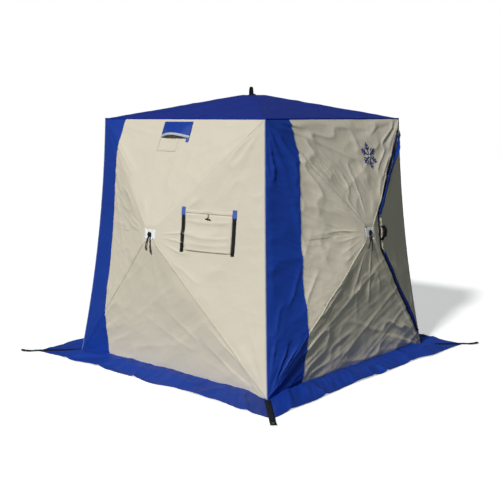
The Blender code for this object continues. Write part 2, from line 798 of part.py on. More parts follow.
def add_stake_straps(looks):
    """A webbing strap from each foot over the skirt's corner, with an eyelet for a stake."""
    start = (floor_half + stake_strap_start) * math.sqrt(2)
    end = stake_strap_end * math.sqrt(2)
    half = stake_strap_width / 2
    drop_start = skirt_half * math.sqrt(2) + 5 * gap
    high = skirt_thick + gap
    stations = [(start, high), (drop_start, high), (drop_start + stake_strap_drop, 0.0), (end, 0.0)]
    rows = [[(r, -half, z), (r, half, z)] for r, z in stations]
    strap = grid_mesh(rows, strap_thick)
    radius, inset = stake_eyelet
    eyelet = prism(circle(radius, 10, (end - inset, 0.0)), -5 * strap_thick, 5 * strap_thick)
    mesh = combine(strap, [(eyelet, Matrix.Identity(4), "DIFFERENCE")])
    for k, corner in enumerate(corner_names):
        turn = Matrix.Rotation(math.radians(90 * k - 45), 4, "Z")
        strap = add_object(f"stake_strap_{corner}", mesh.copy(), looks["webbing"], turn)
        move_origin(strap, turn @ Vector((start, 0.0, high)))


def main():
    clear_scene()
    looks = {
        "rod": material("fibreglass rod", (0.020, 0.020, 0.022), 0.35),
        "hub": material("moulded hub", (0.012, 0.012, 0.014), 0.45),
        "knuckle": material("moulded knuckle", (0.015, 0.015, 0.017), 0.50),
        "wall": material("coated wall cloth", sand, 0.75),
        "roof": material("coated roof cloth", royal, 0.70),
        "panel": material("sand cloth panel", sand, 0.75),
        "flap": material("blue storm flap", royal, 0.70),
        "zip": material("zip tape", (0.008, 0.009, 0.012), 0.60),
        "slider": material("zip slider", (0.020, 0.020, 0.022), 0.35, 0.6),
        "pane": material("clear window sheet", (0.800, 0.840, 0.860), 0.10, 0.0, 0.35),
        "hood": material("vent hood cloth", sand, 0.75),
        "mesh": material("vent mesh", (0.010, 0.010, 0.012), 0.80),
        "webbing": material("webbing", (0.008, 0.008, 0.010), 0.80),
        "skirt": material("skirt cloth", royal, 0.70),
    }
    add_frame(looks)
    add_knuckles(looks)
    add_cloth(looks)
    add_door(looks)
    add_window(looks)
    add_vent(looks)
    add_pull_straps(looks)
    add_skirt(looks)
    add_stake_straps(looks)


main()
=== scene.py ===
import json
import math

import bmesh
import bpy
import numpy as np
from mathutils import Matrix, Vector


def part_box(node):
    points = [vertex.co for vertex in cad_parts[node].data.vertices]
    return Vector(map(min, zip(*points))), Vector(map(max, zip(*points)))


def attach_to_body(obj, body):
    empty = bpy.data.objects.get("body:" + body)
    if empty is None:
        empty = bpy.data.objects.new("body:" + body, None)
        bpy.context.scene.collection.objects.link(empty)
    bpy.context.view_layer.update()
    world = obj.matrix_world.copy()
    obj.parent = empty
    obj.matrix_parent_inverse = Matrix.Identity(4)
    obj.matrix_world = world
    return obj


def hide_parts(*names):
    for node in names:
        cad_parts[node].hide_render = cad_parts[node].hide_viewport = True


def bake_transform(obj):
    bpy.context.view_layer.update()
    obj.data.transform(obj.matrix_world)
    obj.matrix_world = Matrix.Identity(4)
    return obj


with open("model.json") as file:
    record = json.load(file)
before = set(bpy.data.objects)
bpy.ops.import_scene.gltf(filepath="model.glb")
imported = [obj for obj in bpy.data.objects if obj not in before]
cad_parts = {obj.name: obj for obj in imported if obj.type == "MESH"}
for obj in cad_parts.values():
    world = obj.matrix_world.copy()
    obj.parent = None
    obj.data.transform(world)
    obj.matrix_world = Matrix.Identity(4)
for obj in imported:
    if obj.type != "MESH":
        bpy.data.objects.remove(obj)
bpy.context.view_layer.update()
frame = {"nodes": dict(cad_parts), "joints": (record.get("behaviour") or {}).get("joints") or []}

# Pop-up ice fishing shelter: its sewn cloth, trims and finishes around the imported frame.
joints = {joint["name"]: joint for joint in frame["joints"]}
print("frame loaded")

wallNames = ["front", "right", "back", "left"]  # the window wall, the door wall, and on round
panelNames = wallNames + ["roof"]
edgeNames = ["right", "top", "left", "foot"]    # a panel's four facets, one to each edge of its rim
cornerNames = ["front_right", "back_right", "back_left", "front_left"]

shelter = {
    "seamDraw": 0.026,      # the corner seams are drawn in this far at mid height
    "panelGap": 0.0026,     # each panel's rim is this far inside the corner line
    "eaveRise": 0.002,      # the panels meet this far above the roof cover's lowest edge
    "seamSteps": 24,        # straight steps along a bowed seam
    "hem": 0.006,           # foot of the walls above the ground
    "clothAbovePins": 0.0188,   # outer face of the cloth above a hub's cross pins
    "flatShare": 0.078,     # the middle of a panel that lies flat on its hub
    "clothThick": 0.0012,
    "seamAllowance": 0.02,
    "rimPull": 0.05,        # where on the easing of a push the rim and the hub are
    "hubPull": 0.92,
}


# A panel has its own axes: x along it, y up its slope and z outwards, from the hub's cross pins.
def panelPlace(name):
    push = Vector(joints[f"{name}_hub_push"]["axis"]).normalized()
    along = Vector((1, 0, 0)) if name == "roof" else Vector((0, 0, 1)).cross(push).normalized()
    turn = Matrix((along, push.cross(along), push)).transposed().to_4x4()
    return Matrix.Translation(Vector(joints[f"{name}_strap_swing"]["pos_m"])) @ turn


def makePanel(name):
    place = panelPlace(name)
    roofLow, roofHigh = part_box("roof_cover")
    eave = roofLow.z + shelter["eaveRise"]
    halfTop = roofHigh.x + shelter["panelGap"]
    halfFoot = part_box("wall_front")[1].x + shelter["panelGap"]
    panel = {"name": name, "place": place, "bowed": name != "roof"}
    if name == "roof":
        panel["corners"] = [(halfTop, -halfTop), (halfTop, halfTop), (-halfTop, halfTop), (-halfTop, -halfTop)]
        panel["rimOut"] = eave - place.translation.z
    else:
        turn = place.inverted() @ Matrix.Rotation(math.radians(90 * wallNames.index(name)), 4, "Z")
        foot = turn @ Vector((halfFoot, -halfFoot, shelter["hem"]))
        top = turn @ Vector((halfTop, -halfTop, eave))
        panel["corners"] = [(foot.x, foot.y), (top.x, top.y), (-top.x, top.y), (-foot.x, foot.y)]
        panel["rimOut"] = (foot.z + top.z) / 2
        panel["lean"] = math.asin(place.col[2].z)
    rim = []
    for edge in range(4):
        steps = shelter["seamSteps"] if panel["bowed"] and edge in (0, 2) else 1
        rim += list(zip(*rimPoints(panel, edge, np.arange(steps) / steps)))
    panel["rim"] = np.array(rim)
    return panel


def rimPoints(panel, edge, along):
    # x, y and height of points on one edge of the rim; the corner seams are drawn in
    ax, ay = panel["corners"][edge]
    bx, by = panel["corners"][(edge + 1) % 4]
    along = np.asarray(along, float)
    x = ax + (bx - ax) * along
    y = ay + (by - ay) * along
    out = np.full_like(along, panel["rimOut"])
    if panel["bowed"] and edge in (0, 2):
        draw = shelter["seamDraw"] * 4 * along * (1 - along)
        x = x - np.sign(x) * draw
        y = y + draw * math.sin(panel["lean"])
        out = out - draw * math.cos(panel["lean"])
    return x, y, out


def shareAndRim(panel, x, y):
    # how far out a point is from the hub's axis, as a share of the way to the rim, and the rim's height there
    share = np.zeros_like(x)
    rimOut = np.full_like(x, panel["rimOut"])
    rim = panel["rim"]
    for (ax, ay, aOut), (bx, by, bOut) in zip(rim, np.roll(rim, -1, axis=0)):
        area = ax * by - ay * bx
        alongA = (x * by - y * bx) / area
        alongB = (ax * y - ay * x) / area
        inside = (alongA >= -1e-9) & (alongB >= -1e-9)
        total = np.where(inside, alongA + alongB, 1.0)
        share = np.where(inside, total, share)
        rimOut = np.where(inside, (alongA * aOut + alongB * bOut) / np.maximum(total, 1e-6), rimOut)
    return share, rimOut


def smoothNoise(u, v, seed):
    i = np.floor(u)
    j = np.floor(v)
    fu = u - i
    fv = v - j
    fu = fu ** 3 * (fu * (fu * 6 - 15) + 10)
    fv = fv ** 3 * (fv * (fv * 6 - 15) + 10)

    def corner(a, b):
        value = np.sin(a * 127.1 + b * 311.7 + seed * 74.7) * 43758.5453
        return value - np.floor(value)

    low = corner(i, j) * (1 - fu) + corner(i + 1, j) * fu
    high = corner(i, j + 1) * (1 - fu) + corner(i + 1, j + 1) * fu
    return low * (1 - fv) + high * fv


def crest(value, sharp):
    # folds with narrow tops and wide valleys
    return (1 - np.abs(2 * value - 1)) ** sharp


def fan(x, y, middle, count, reach, seed):
    # folds that run out from a point where the cloth is pulled
    dx = x - middle[0]
    dy = y - middle[1]
    r = np.hypot(dx, dy)
    turn = (np.arctan2(dy, dx) / (2 * math.pi) + 1) * count
    fold = crest(smoothNoise(turn, r / reach * 1.2, seed), 2.2)
    return fold * (r / reach) * np.exp(1 - r / reach)


def puckers(along, away, pitch, depth, seed):
    # short gathers across a sewn line
    fold = crest(smoothNoise(along / pitch, away / (depth * 2.5), seed), 1.6) - 0.4
    return fold * np.exp(-np.abs(away) / depth)


def drag(x, y, tilt, pitch, length, seed):
    # long slanting folds, side by side
    across = x * math.cos(tilt) + y * math.sin(tilt)
    down = y * math.cos(tilt) - x * math.sin(tilt)
    return crest(smoothNoise(across / pitch, down / length, seed), 2.0) - 0.33


# Heights of each kind of fold, in metres; ridge is how far out the cloth's turn over a rod is rounded.
foldKinds = ["hub", "corner", "seam", "rod", "slack", "crumple", "low", "side", "high", "ridge"]
foldHeights = {
    "front": (0.0050, 0.0060, 0.0026, 0.0008, 0.0035, 0.0006, 0.0030, 0.0018, 0.0006, 0.040),
    "right": (0.0066, 0.0145, 0.0060, 0.0022, 0.0022, 0.0005, 0.0054, 0.0038, 0.0024, 0.014),
    "back": (0.0065, 0.0080, 0.0040, 0.0020, 0.0045, 0.0010, 0.0050, 0.0030, 0.0015, 0.018),
    "left": (0.0065, 0.0080, 0.0040, 0.0020, 0.0045, 0.0010, 0.0050, 0.0030, 0.0015, 0.018),
    "roof": (0.0035, 0.0040, 0.0016, 0.0010, 0.0030, 0.0008, 0.0, 0.0, 0.0, 0.014),
}
folds = {name: dict(zip(foldKinds, heights)) for name, heights in foldHeights.items()}
clothTurn = 0.165    # rise of the cloth across a rod's line, in metres a metre


def rodLines(panel):
    # the two lines of rods that cross at the hub, as unit directions
    lines = []
    for corner in (1, 0):
        cx, cy = panel["corners"][corner]
        for side in (1, -1):
            lines.append((side * cx / math.hypot(cx, cy), side * cy / math.hypot(cx, cy)))
            lines.append((-side * cx / math.hypot(cx, cy), side * cy / math.hypot(cx, cy)))
    return lines


def clothOut(panel, x, y):
    # height of the cloth's outer face, folds and all
    x = np.asarray(x, float)
    y = np.asarray(y, float)
    size = folds[panel["name"]]
    seed = 11 + 7 * panelNames.index(panel["name"])
    share, rimOut = shareAndRim(panel, x, y)
    flat = shelter["flatShare"]
    slope = np.clip((share - flat) / (1 - flat), 0, None)
    out = shelter["clothAbovePins"] + (rimOut - shelter["clothAbovePins"]) * slope
    loose = np.clip((share - 0.10) / 0.15, 0, 1) * np.clip((1 - share) / 0.05, 0, 1)
    fold = size["slack"] * (smoothNoise(x / 0.34 + 5, y / 0.27 + 3, seed) - 0.6)
    fold = fold + size["hub"] * fan(x, y, (0, 0), 24, 0.24, seed + 1)
    for k, corner in enumerate(panel["corners"]):
        fold = fold + size["corner"] * fan(x, y, corner, 46, 0.30, seed + 2 + k)
    radius = np.hypot(x, y)
    away = np.min([np.abs(x * wy - y * wx) for wx, wy in rodLines(panel)], axis=0)
    fold = fold + size["rod"] * puckers(radius, away, 0.045, 0.05, seed + 7)
    fold = fold + size["crumple"] * (smoothNoise(x / 0.05 + y / 0.1, y / 0.06 - x / 0.12, seed + 9) - 0.5)
    turn = size["ridge"]
    fold = fold - clothTurn * (np.sqrt(away ** 2 + turn ** 2) - away)
    if panel["bowed"]:
        fromSeam = (1 - share) * abs(panel["corners"][1][0])
        atSide = np.clip((np.abs(x) - np.abs(y) * 0.75) / 0.1, 0, 1)
        fold = fold + size["seam"] * puckers(y, fromSeam, 0.065, 0.11, seed + 8) * atSide
        low = np.clip((-y - 0.6 * np.abs(x)) / 0.25, 0, 1)
        fold = fold + size["low"] * drag(x, y, math.radians(124), 0.078, 1.2, seed + 10) * low
        fold = fold + size["low"] * 0.35 * drag(x, y, math.radians(112), 0.040, 0.45, seed + 13) * low
        fold = fold + size["side"] * drag(x, y, math.radians(66), 0.036, 0.26, seed + 11) * atSide * (x < 0)
        high = np.clip((y - 0.7 * np.abs(x)) / 0.15, 0, 1) * np.exp(-((y - 0.42) / 0.20) ** 2)
        fold = fold + size["high"] * drag(x, y, math.radians(38), 0.028, 0.13, seed + 12) * high
    return out + loose * fold


panels = {name: makePanel(name) for name in panelNames}


def cutSheet(mesh, cuts, inside):
    # trim along straight lines (point and direction in x and y), then take away what is inside
    work = bmesh.new()
    work.from_mesh(mesh)
    for (px, py), (wx, wy) in cuts:
        parts = work.verts[:] + work.edges[:] + work.faces[:]
        bmesh.ops.bisect_plane(work, geom=parts, plane_co=(px, py, 0), plane_no=(-wy, wx, 0), dist=1e-6)
    gone = [face for face in work.faces if inside(*face.calc_center_median()[:2])]
    bmesh.ops.delete(work, geom=gone, context="FACES")
    work.to_mesh(mesh)
    work.free()


def gridMesh(name, points, **uvs):
    # a mesh over rows and columns of points, with named flat coordinates
    rows, columns = points.shape[:2]
    mesh = bpy.data.meshes.new(name)
    at = np.arange(rows * columns).reshape(rows, columns)
    quads = np.stack([at[:-1, :-1], at[1:, :-1], at[1:, 1:], at[:-1, 1:]], axis=-1).reshape(-1, 4)
    mesh.from_pydata([tuple(p) for p in points.reshape(-1, 3)], [], quads.tolist())
    corners = np.zeros(len(mesh.loops), int)
    mesh.loops.foreach_get("vertex_index", corners)
    for label, uv in uvs.items():
        values = np.asarray(uv, np.float32).reshape(-1, 2)[corners]
        mesh.uv_layers.new(name=label).data.foreach_set("uv", values.ravel())
    return mesh


def placeMesh(mesh, finishes, place=None, sharp=None):
    if place is not None:
        mesh.transform(place)
    for finish in finishes:
        mesh.materials.append(finish)
    made = bpy.data.objects.new(mesh.name, mesh)
    bpy.context.scene.collection.objects.link(made)
    mesh.shade_smooth()
    if sharp:
        mesh.set_sharp_from_angle(angle=math.radians(sharp))
    return made


def sheetObject(name, x, y, out, finishes, place, thick, seamUv=None, hole=None):
    # a sheet over rows and columns of points, thickened inwards; its finishes are the outer and the inner one
    flat = np.stack([x, y], axis=-1)
    points = np.concatenate([flat, out[..., None]], axis=-1)
    mesh = gridMesh(name, points, flat=flat, seam=flat if seamUv is None else seamUv)
    if hole:
        cutSheet(mesh, *hole)
    made = placeMesh(mesh, finishes, place)
    shell = made.modifiers.new("thickness", "SOLIDIFY")
    shell.thickness = thick
    shell.offset = -1
    shell.material_offset = len(finishes) - 1
    bpy.context.view_layer.update()
    final = bpy.data.meshes.new_from_object(made.evaluated_get(bpy.context.evaluated_depsgraph_get()))
    made.modifiers.clear()
    made.data = final
    final.shade_smooth()
    return made


def loft(name, rings, finish, place=None, joined=False, capped=True):
    # a skin over rings of points; joined leads the last ring back to the first
    sides, count = len(rings[0]), len(rings)
    faces = [(r * sides + k, r * sides + (k + 1) % sides, (r + 1) % count * sides + (k + 1) % sides,
              (r + 1) % count * sides + k) for r in range(count - (not joined)) for k in range(sides)]
    if capped and not joined:
        faces += [tuple(reversed(range(sides))), tuple((count - 1) * sides + k for k in range(sides))]
    mesh = bpy.data.meshes.new(name)
    mesh.from_pydata([tuple(p) for ring in rings for p in ring], [], faces)
    return placeMesh(mesh, [finish], place, 40)


def tubeMesh(name, path, radius, finish, place=None, sides=10):
    # a round cord or piping along points, with closed ends
    path = [Vector(p) for p in path]
    ways = [(path[min(k + 1, len(path) - 1)] - path[max(k - 1, 0)]).normalized() for k in range(len(path))]
    side = ways[0].orthogonal().normalized()
    rings = []
    for middle, way in zip(path, ways):
        side = (side - way * side.dot(way)).normalized()
        other = way.cross(side)
        turns = [2 * math.pi * k / sides for k in range(sides)]
        rings.append([middle + (side * math.cos(turn) + other * math.sin(turn)) * radius for turn in turns])
    return loft(name, rings, finish, place)


def turnedMesh(name, profile, finish, place=None, sides=24, **how):
    # a profile of radius and height turned about z
    turns = [2 * math.pi * k / sides for k in range(sides)]
    rings = [[(r * math.cos(turn), r * math.sin(turn), z) for turn in turns] for r, z in profile]
    return loft(name, rings, finish, place, **how)


def smoothPath(points, steps):
    # a Catmull-Rom curve through the points
    points = [Vector(p) for p in points]
    ends = [points[0] * 2 - points[1]] + points + [points[-1] * 2 - points[-2]]
    path = []
    for a, b, c, d in zip(ends, ends[1:], ends[2:], ends[3:]):
        for k in range(steps):
            t = k / steps
            path.append(0.5 * (2 * b + (c - a) * t + (2 * a - 5 * b + 4 * c - d) * t * t
                               + (3 * b - a - 3 * c + d) * t ** 3))
    return path + [points[-1]]


def smoothProfile(points, steps):
    return [(p.x, p.y) for p in smoothPath([(run, rise, 0) for run, rise in points], steps)]


def evenPath(ends, step):
    # points at even steps along straight runs in x and y
    path = [np.array(ends[0], float)]
    for a, b in zip(ends, ends[1:]):
        a = np.array(a, float)
        b = np.array(b, float)
        count = max(2, int(np.hypot(*(b - a)) / step))
        path += [a + (b - a) * k / count for k in range(1, count + 1)]
    return np.array(path)


def ribbonShape(path, width, columns):
    # points on both sides of a path, from its right side to its left
    ahead = np.gradient(path, axis=0)
    ahead /= np.hypot(ahead[:, 0], ahead[:, 1])[:, None]
    left = np.stack([-ahead[:, 1], ahead[:, 0]], axis=1)
    along = np.concatenate([[0], np.cumsum(np.hypot(*np.diff(path, axis=0).T))])
    across = np.linspace(-0.5, 0.5, columns) * width
    grid = path[:, None, :] + left[:, None, :] * across[None, :, None]
    seam = np.stack(np.broadcast_arrays(along[:, None], across[None, :]), axis=-1)
    return grid, seam


def ribbonOnCloth(name, panel, ends, width, finishes, lift=0.0008, crown=0.0, thick=0.0008, columns=5,
                  step=0.012, shape=None):
    # a band of tape or cloth that lies on a panel along a path
    grid, seam = ribbonShape(evenPath(ends, step), width, columns)
    x, y = grid[..., 0], grid[..., 1]
    out = clothOut(panel, x, y) + lift + thick + crown * (1 - (2 * seam[..., 1] / width) ** 2)
    if shape:
        out = out + shape(seam[..., 0], seam[..., 1])
    return sheetObject(name, x, y, out, finishes, panel["place"], thick, seam)


def sheetOnCloth(name, panel, low, high, finishes, lift, thick=0.001, step=0.012, shape=None):
    # a rectangular sheet that lies on a panel, between two corners in x and y
    columns = int((high[0] - low[0]) / step) + 2
    rows = int((high[1] - low[1]) / step) + 2
    x, y = np.meshgrid(np.linspace(low[0], high[0], columns), np.linspace(high[1], low[1], rows))
    out = clothOut(panel, x, y) + lift + thick
    if shape:
        out = out + shape(x, y)
    return sheetObject(name, x, y, out, finishes, panel["place"], thick)


def attach(item, body, node=None):
    # a piece that moves with one body, and stands for a CAD node where one is named
    if node:
        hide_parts(node)
    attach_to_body(item, body)


def linear(hexText):
    # an sRGB hex colour as linear values
    values = [int(hexText[k:k + 2], 16) / 255 for k in (1, 3, 5)]
    return tuple(v / 12.92 if v <= 0.04045 else ((v + 0.055) / 1.055) ** 2.4 for v in values) + (1.0,)


def addNode(tree, kind, inputs, out=0, **settings):
    # a node with its settings; each input is a value, a colour or another node's output
    node = tree.nodes.new(f"ShaderNode{kind}")
    for key, value in settings.items():
        setattr(node, key, value)
    for key, value in inputs.items():
        if isinstance(value, bpy.types.NodeSocket):
            tree.links.new(value, node.inputs[key])
        else:
            node.inputs[key].default_value = value
    return node.outputs[out]


def startFinish(name, roughness, pattern, metallic=0.0):
    # pattern is where it is drawn: on the flat cloth, along the seam, or in the piece's own space
    made = bpy.data.materials.new(name)
    made.use_nodes = True
    tree = made.node_tree
    shader = tree.nodes["Principled BSDF"]
    shader.inputs["Roughness"].default_value = roughness
    shader.inputs["Metallic"].default_value = metallic
    if pattern == "Object":
        return made, tree, shader, addNode(tree, "TexCoord", {}, "Object")
    return made, tree, shader, addNode(tree, "UVMap", {}, uv_map=pattern)


def dress(tree, shader, share, dark, light, height=None, distance=0.0, strength=1.0):
    # the colour runs from dark to light by share; a height makes the bump
    colour = addNode(tree, "Mix", {0: share, 6: linear(dark), 7: linear(light)}, 2, data_type="RGBA")
    tree.links.new(colour, shader.inputs["Base Color"])
    if height is not None:
        bump = addNode(tree, "Bump", {"Height": height, "Distance": distance, "Strength": strength})
        tree.links.new(bump, shader.inputs["Normal"])


def acrossAndAlong(tree, at):
    return [addNode(tree, "SeparateXYZ", {0: at}, axis) for axis in (0, 1)]


def waves(tree, run, pitch):
    # ribs or threads that come back every pitch
    turn = addNode(tree, "Math", {0: run, 1: 2 * math.pi / pitch}, operation="MULTIPLY")
    return addNode(tree, "Math", {0: turn}, operation="SINE")


def plainWeave(tree, at):
    # over and under of warp and weft
    warp, weft = [waves(tree, run, clothLook["thread"]) for run in acrossAndAlong(tree, at)]
    return addNode(tree, "Math", {0: warp, 1: weft}, operation="MULTIPLY")


def stitchRow(tree, seam, fromMiddle, length):
    # one where a stitch of the two rows lies: real stitches are 3.5 mm, drawn twice as long so that they show
    along, across = acrossAndAlong(tree, seam)
    away = addNode(tree, "Math", {0: across}, operation="ABSOLUTE")
    away = addNode(tree, "Math", {0: away, 1: fromMiddle}, operation="SUBTRACT")
    away = addNode(tree, "Math", {0: away}, operation="ABSOLUTE")
    near = addNode(tree, "Math", {0: away, 1: 0.0007}, operation="LESS_THAN")
    step = addNode(tree, "Math", {0: along, 1: length}, operation="DIVIDE")
    step = addNode(tree, "Math", {0: step}, operation="FRACT")
    drawn = addNode(tree, "Math", {0: step, 1: 0.72}, operation="LESS_THAN")
    return addNode(tree, "Math", {0: near, 1: drawn}, operation="MULTIPLY")


clothLook = {
    "sand": ("#ddd4c2", "#d3cab7"),
    "royal": ("#1740a2", "#123692"),
    "roof": ("#0a2c92", "#082585"),
    "thread": 0.0016,       # threads are 0.4 mm apart; drawn at 1.6 mm so that they show
    "stripTop": -0.525,     # x of the edge between the royal strip and the sand cloth
    "stripFoot": -0.575,
    "stitchIn": 0.0042,     # the two rows of stitches on each side of a seam's middle
    "stitch": 0.0070,
}


def oxfordCloth(name, colours, strip=None, stitched=False):
    # 300 denier polyester in plain weave, coated on the back: matt and smooth, a soft shine on each fold,
    # fine crinkles where it was packed
    made, tree, shader, flat = startFinish(name, 0.56, "flat")
    mottle = addNode(tree, "TexNoise", {"Vector": flat, "Scale": 2.5, "Detail": 5.0})
    tones = [addNode(tree, "Mix", {0: mottle, 6: linear(pair[0]), 7: linear(pair[1])}, 2, data_type="RGBA")
             for pair in (colours, strip) if pair]
    colour = tones[0]
    if strip:
        x, y = acrossAndAlong(tree, flat)
        foot, top = [panels["front"]["corners"][k][1] for k in (0, 1)]
        slope = (clothLook["stripTop"] - clothLook["stripFoot"]) / (top - foot)
        edge = addNode(tree, "Math", {0: y, 1: slope, 2: clothLook["stripTop"] - slope * top},
                       operation="MULTIPLY_ADD")
        beyond = addNode(tree, "Math", {0: x, 1: edge}, operation="GREATER_THAN")
        colour = addNode(tree, "Mix", {0: beyond, 6: tones[1], 7: tones[0]}, 2, data_type="RGBA")
    crinkle = addNode(tree, "TexNoise", {"Vector": flat, "Scale": 26.0, "Detail": 5.0, "Roughness": 0.55})
    normal = addNode(tree, "Bump", {"Height": plainWeave(tree, flat), "Distance": 0.00012, "Strength": 0.6})
    normal = addNode(tree, "Bump", {"Height": crinkle, "Distance": 0.006, "Strength": 0.30, "Normal": normal})
    if stitched:
        seam = addNode(tree, "UVMap", {}, uv_map="seam")
        dash = stitchRow(tree, seam, clothLook["stitchIn"], clothLook["stitch"])
        shade = addNode(tree, "Math", {0: dash, 1: 0.16}, operation="MULTIPLY")
        colour = addNode(tree, "Mix", {0: shade, 6: colour, 7: linear("#2a2c33")}, 2, data_type="RGBA")
        normal = addNode(tree, "Bump", {"Height": dash, "Distance": -0.0004, "Strength": 0.8, "Normal": normal})
    tree.links.new(colour, shader.inputs["Base Color"])
    tree.links.new(normal, shader.inputs["Normal"])
    shader.inputs["Specular IOR Level"].default_value = 0.26
    return made


def innerCoat():
    # the polyurethane coat on the back of the cloth: pale grey, smoother than the woven face
    made, tree, shader, flat = startFinish("polyurethane coated back of the cloth", 0.42, "flat")
    cloud = addNode(tree, "TexNoise", {"Vector": flat, "Scale": 7.0, "Detail": 4.0})
    dress(tree, shader, cloud, "#c9cbcd", "#b9bcc0", plainWeave(tree, flat), 0.00006, 0.5)
    return made


def webbing(name, dark, light, rib=0.0022):
    # polypropylene webbing: close ribs across the strap and a rolled edge, slightly shiny yarn
    made, tree, shader, seam = startFinish(name, 0.60, "seam")
    along, across = acrossAndAlong(tree, seam)
    height = addNode(tree, "Math", {0: waves(tree, along, rib), 1: waves(tree, across, 2 * rib)},
                     operation="MULTIPLY")
    fuzz = addNode(tree, "TexNoise", {"Vector": seam, "Scale": 260.0, "Detail": 3.0})
    dress(tree, shader, fuzz, dark, light, height, 0.0005, 0.8)
    shader.inputs["Specular IOR Level"].default_value = 0.25
    return made


def mouldedNylon(name, base, speck, roughness, pebbleSize=0.0016):
    # glass-filled nylon from a spark-eroded mould: fine pebble grain, dull black, pale where glass shows
    made, tree, shader, place = startFinish(name, roughness, "Object")
    pebble = addNode(tree, "TexNoise", {"Vector": place, "Scale": 1 / pebbleSize, "Detail": 3.0})
    wear = addNode(tree, "TexNoise", {"Vector": place, "Scale": 45.0, "Detail": 5.0})
    spot = addNode(tree, "Math", {0: wear, 1: 0.66}, operation="GREATER_THAN")
    share = addNode(tree, "Math", {0: spot, 1: 0.35}, operation="MULTIPLY")
    dress(tree, shader, share, base, speck, pebble, 0.0003, 0.5)
    return made


def pultrudedRod():
    # solid glass-fibre rod, pulled through a die and lacquered: long fine fibres under a satin shine
    made, tree, shader, place = startFinish("pultruded glass-fibre rod", 0.32, "Object")
    stretch = addNode(tree, "Mapping", {"Vector": place, "Scale": (60.0, 60.0, 60.0)})
    fibre = addNode(tree, "TexNoise", {"Vector": stretch, "Scale": 8.0, "Detail": 6.0, "Distortion": 1.5})
    dress(tree, shader, fibre, "#26282b", "#3b3e42", fibre, 0.0001, 0.4)
    shader.inputs["Coat Weight"].default_value = 0.3
    shader.inputs["Coat Roughness"].default_value = 0.2
    return made


def zipTape():
    # woven polyester zip tape: fine herringbone ribs, matt black
    made, tree, shader, seam = startFinish("woven polyester zip tape", 0.72, "seam")
    along, across = acrossAndAlong(tree, seam)
    fold = addNode(tree, "Math", {0: across}, operation="ABSOLUTE")
    slant = addNode(tree, "Math", {0: along, 1: fold}, operation="ADD")
    ribs = waves(tree, slant, 0.0018)
    dress(tree, shader, ribs, "#0b0c0e", "#141518", ribs, 0.0002, 0.6)
    return made


def zipCoil():
    # the zip's coil of extruded nylon wire: smooth black turns with a clear highlight
    made, tree, shader, seam = startFinish("extruded nylon zip coil", 0.30, "seam")
    shade = addNode(tree, "TexNoise", {"Vector": seam, "Scale": 90.0})
    dress(tree, shader, shade, "#08090b", "#131418")
    return made


def blackedZinc():
    # die-cast zinc slider, enamelled black: smooth, with grey metal where the edges have rubbed
    made, tree, shader, place = startFinish("black enamelled die-cast zinc", 0.34, "Object", 0.4)
    rub = addNode(tree, "TexNoise", {"Vector": place, "Scale": 420.0, "Detail": 4.0})
    worn = addNode(tree, "Math", {0: rub, 1: 0.62}, operation="GREATER_THAN")
    dress(tree, shader, worn, "#1b1c1e", "#4a4c50")
    return made


def zincedSteel():
    # pressed steel, zinc plated: pale grey with a faint yellow cast and fine tumbling marks
    made, tree, shader, place = startFinish("zinc-plated pressed steel", 0.30, "Object", 1.0)
    cloud = addNode(tree, "TexNoise", {"Vector": place, "Scale": 300.0, "Detail": 4.0})
    dress(tree, shader, cloud, "#a7a9a8", "#c8c9c4")
    return made


def clearVinyl():
    # calendered clear PVC: glassy, slightly blue, with gentle ripples
    made, tree, shader, flat = startFinish("calendered clear vinyl", 0.08, "flat")
    ripple = addNode(tree, "TexNoise", {"Vector": flat, "Scale": 9.0, "Detail": 2.0})
    bump = addNode(tree, "Bump", {"Height": ripple, "Distance": 0.002, "Strength": 0.5})
    tree.links.new(bump, shader.inputs["Normal"])
    shader.inputs["Base Color"].default_value = linear("#e4edf0")
    shader.inputs["Transmission Weight"].default_value = 0.92
    shader.inputs["IOR"].default_value = 1.53
    return made


def ventMesh():
    # knitted polyester mesh: black threads with open holes, 2.5 mm apart where real ones are 1 mm, to show
    made, tree, shader, flat = startFinish("knitted polyester mesh", 0.80, "flat")
    rows = []
    for run in acrossAndAlong(tree, flat):
        step = addNode(tree, "Math", {0: run, 1: 0.0025}, operation="DIVIDE")
        step = addNode(tree, "Math", {0: step}, operation="FRACT")
        rows.append(addNode(tree, "Math", {0: step, 1: 0.40}, operation="LESS_THAN"))
    threads = addNode(tree, "Math", {0: rows[0], 1: rows[1]}, operation="MAXIMUM")
    tree.links.new(threads, shader.inputs["Alpha"])
    fuzz = addNode(tree, "TexNoise", {"Vector": flat, "Scale": 500.0})
    dress(tree, shader, fuzz, "#0d0e10", "#232529")
    return made


def patchCloth():
    # glass-bead reflective cloth of the hub patches: clean white, almost without shade
    made, tree, shader, seam = startFinish("glass-bead reflective cloth", 0.48, "seam")
    beads = addNode(tree, "TexVoronoi", {"Vector": seam, "Scale": 700.0})
    dash = stitchRow(tree, seam, 0.0290, clothLook["stitch"])
    white = addNode(tree, "Mix", {0: beads, 6: linear("#ffffff"), 7: linear("#eff1f4")}, 2, data_type="RGBA")
    shade = addNode(tree, "Math", {0: dash, 1: 0.5}, operation="MULTIPLY")
    colour = addNode(tree, "Mix", {0: shade, 6: white, 7: linear("#6d7076")}, 2, data_type="RGBA")
    bump = addNode(tree, "Bump", {"Height": beads, "Distance": 0.0001, "Strength": 0.5})
    tree.links.new(colour, shader.inputs["Base Color"])
    tree.links.new(bump, shader.inputs["Normal"])
    shader.inputs["Specular IOR Level"].default_value = 0.7
    return made


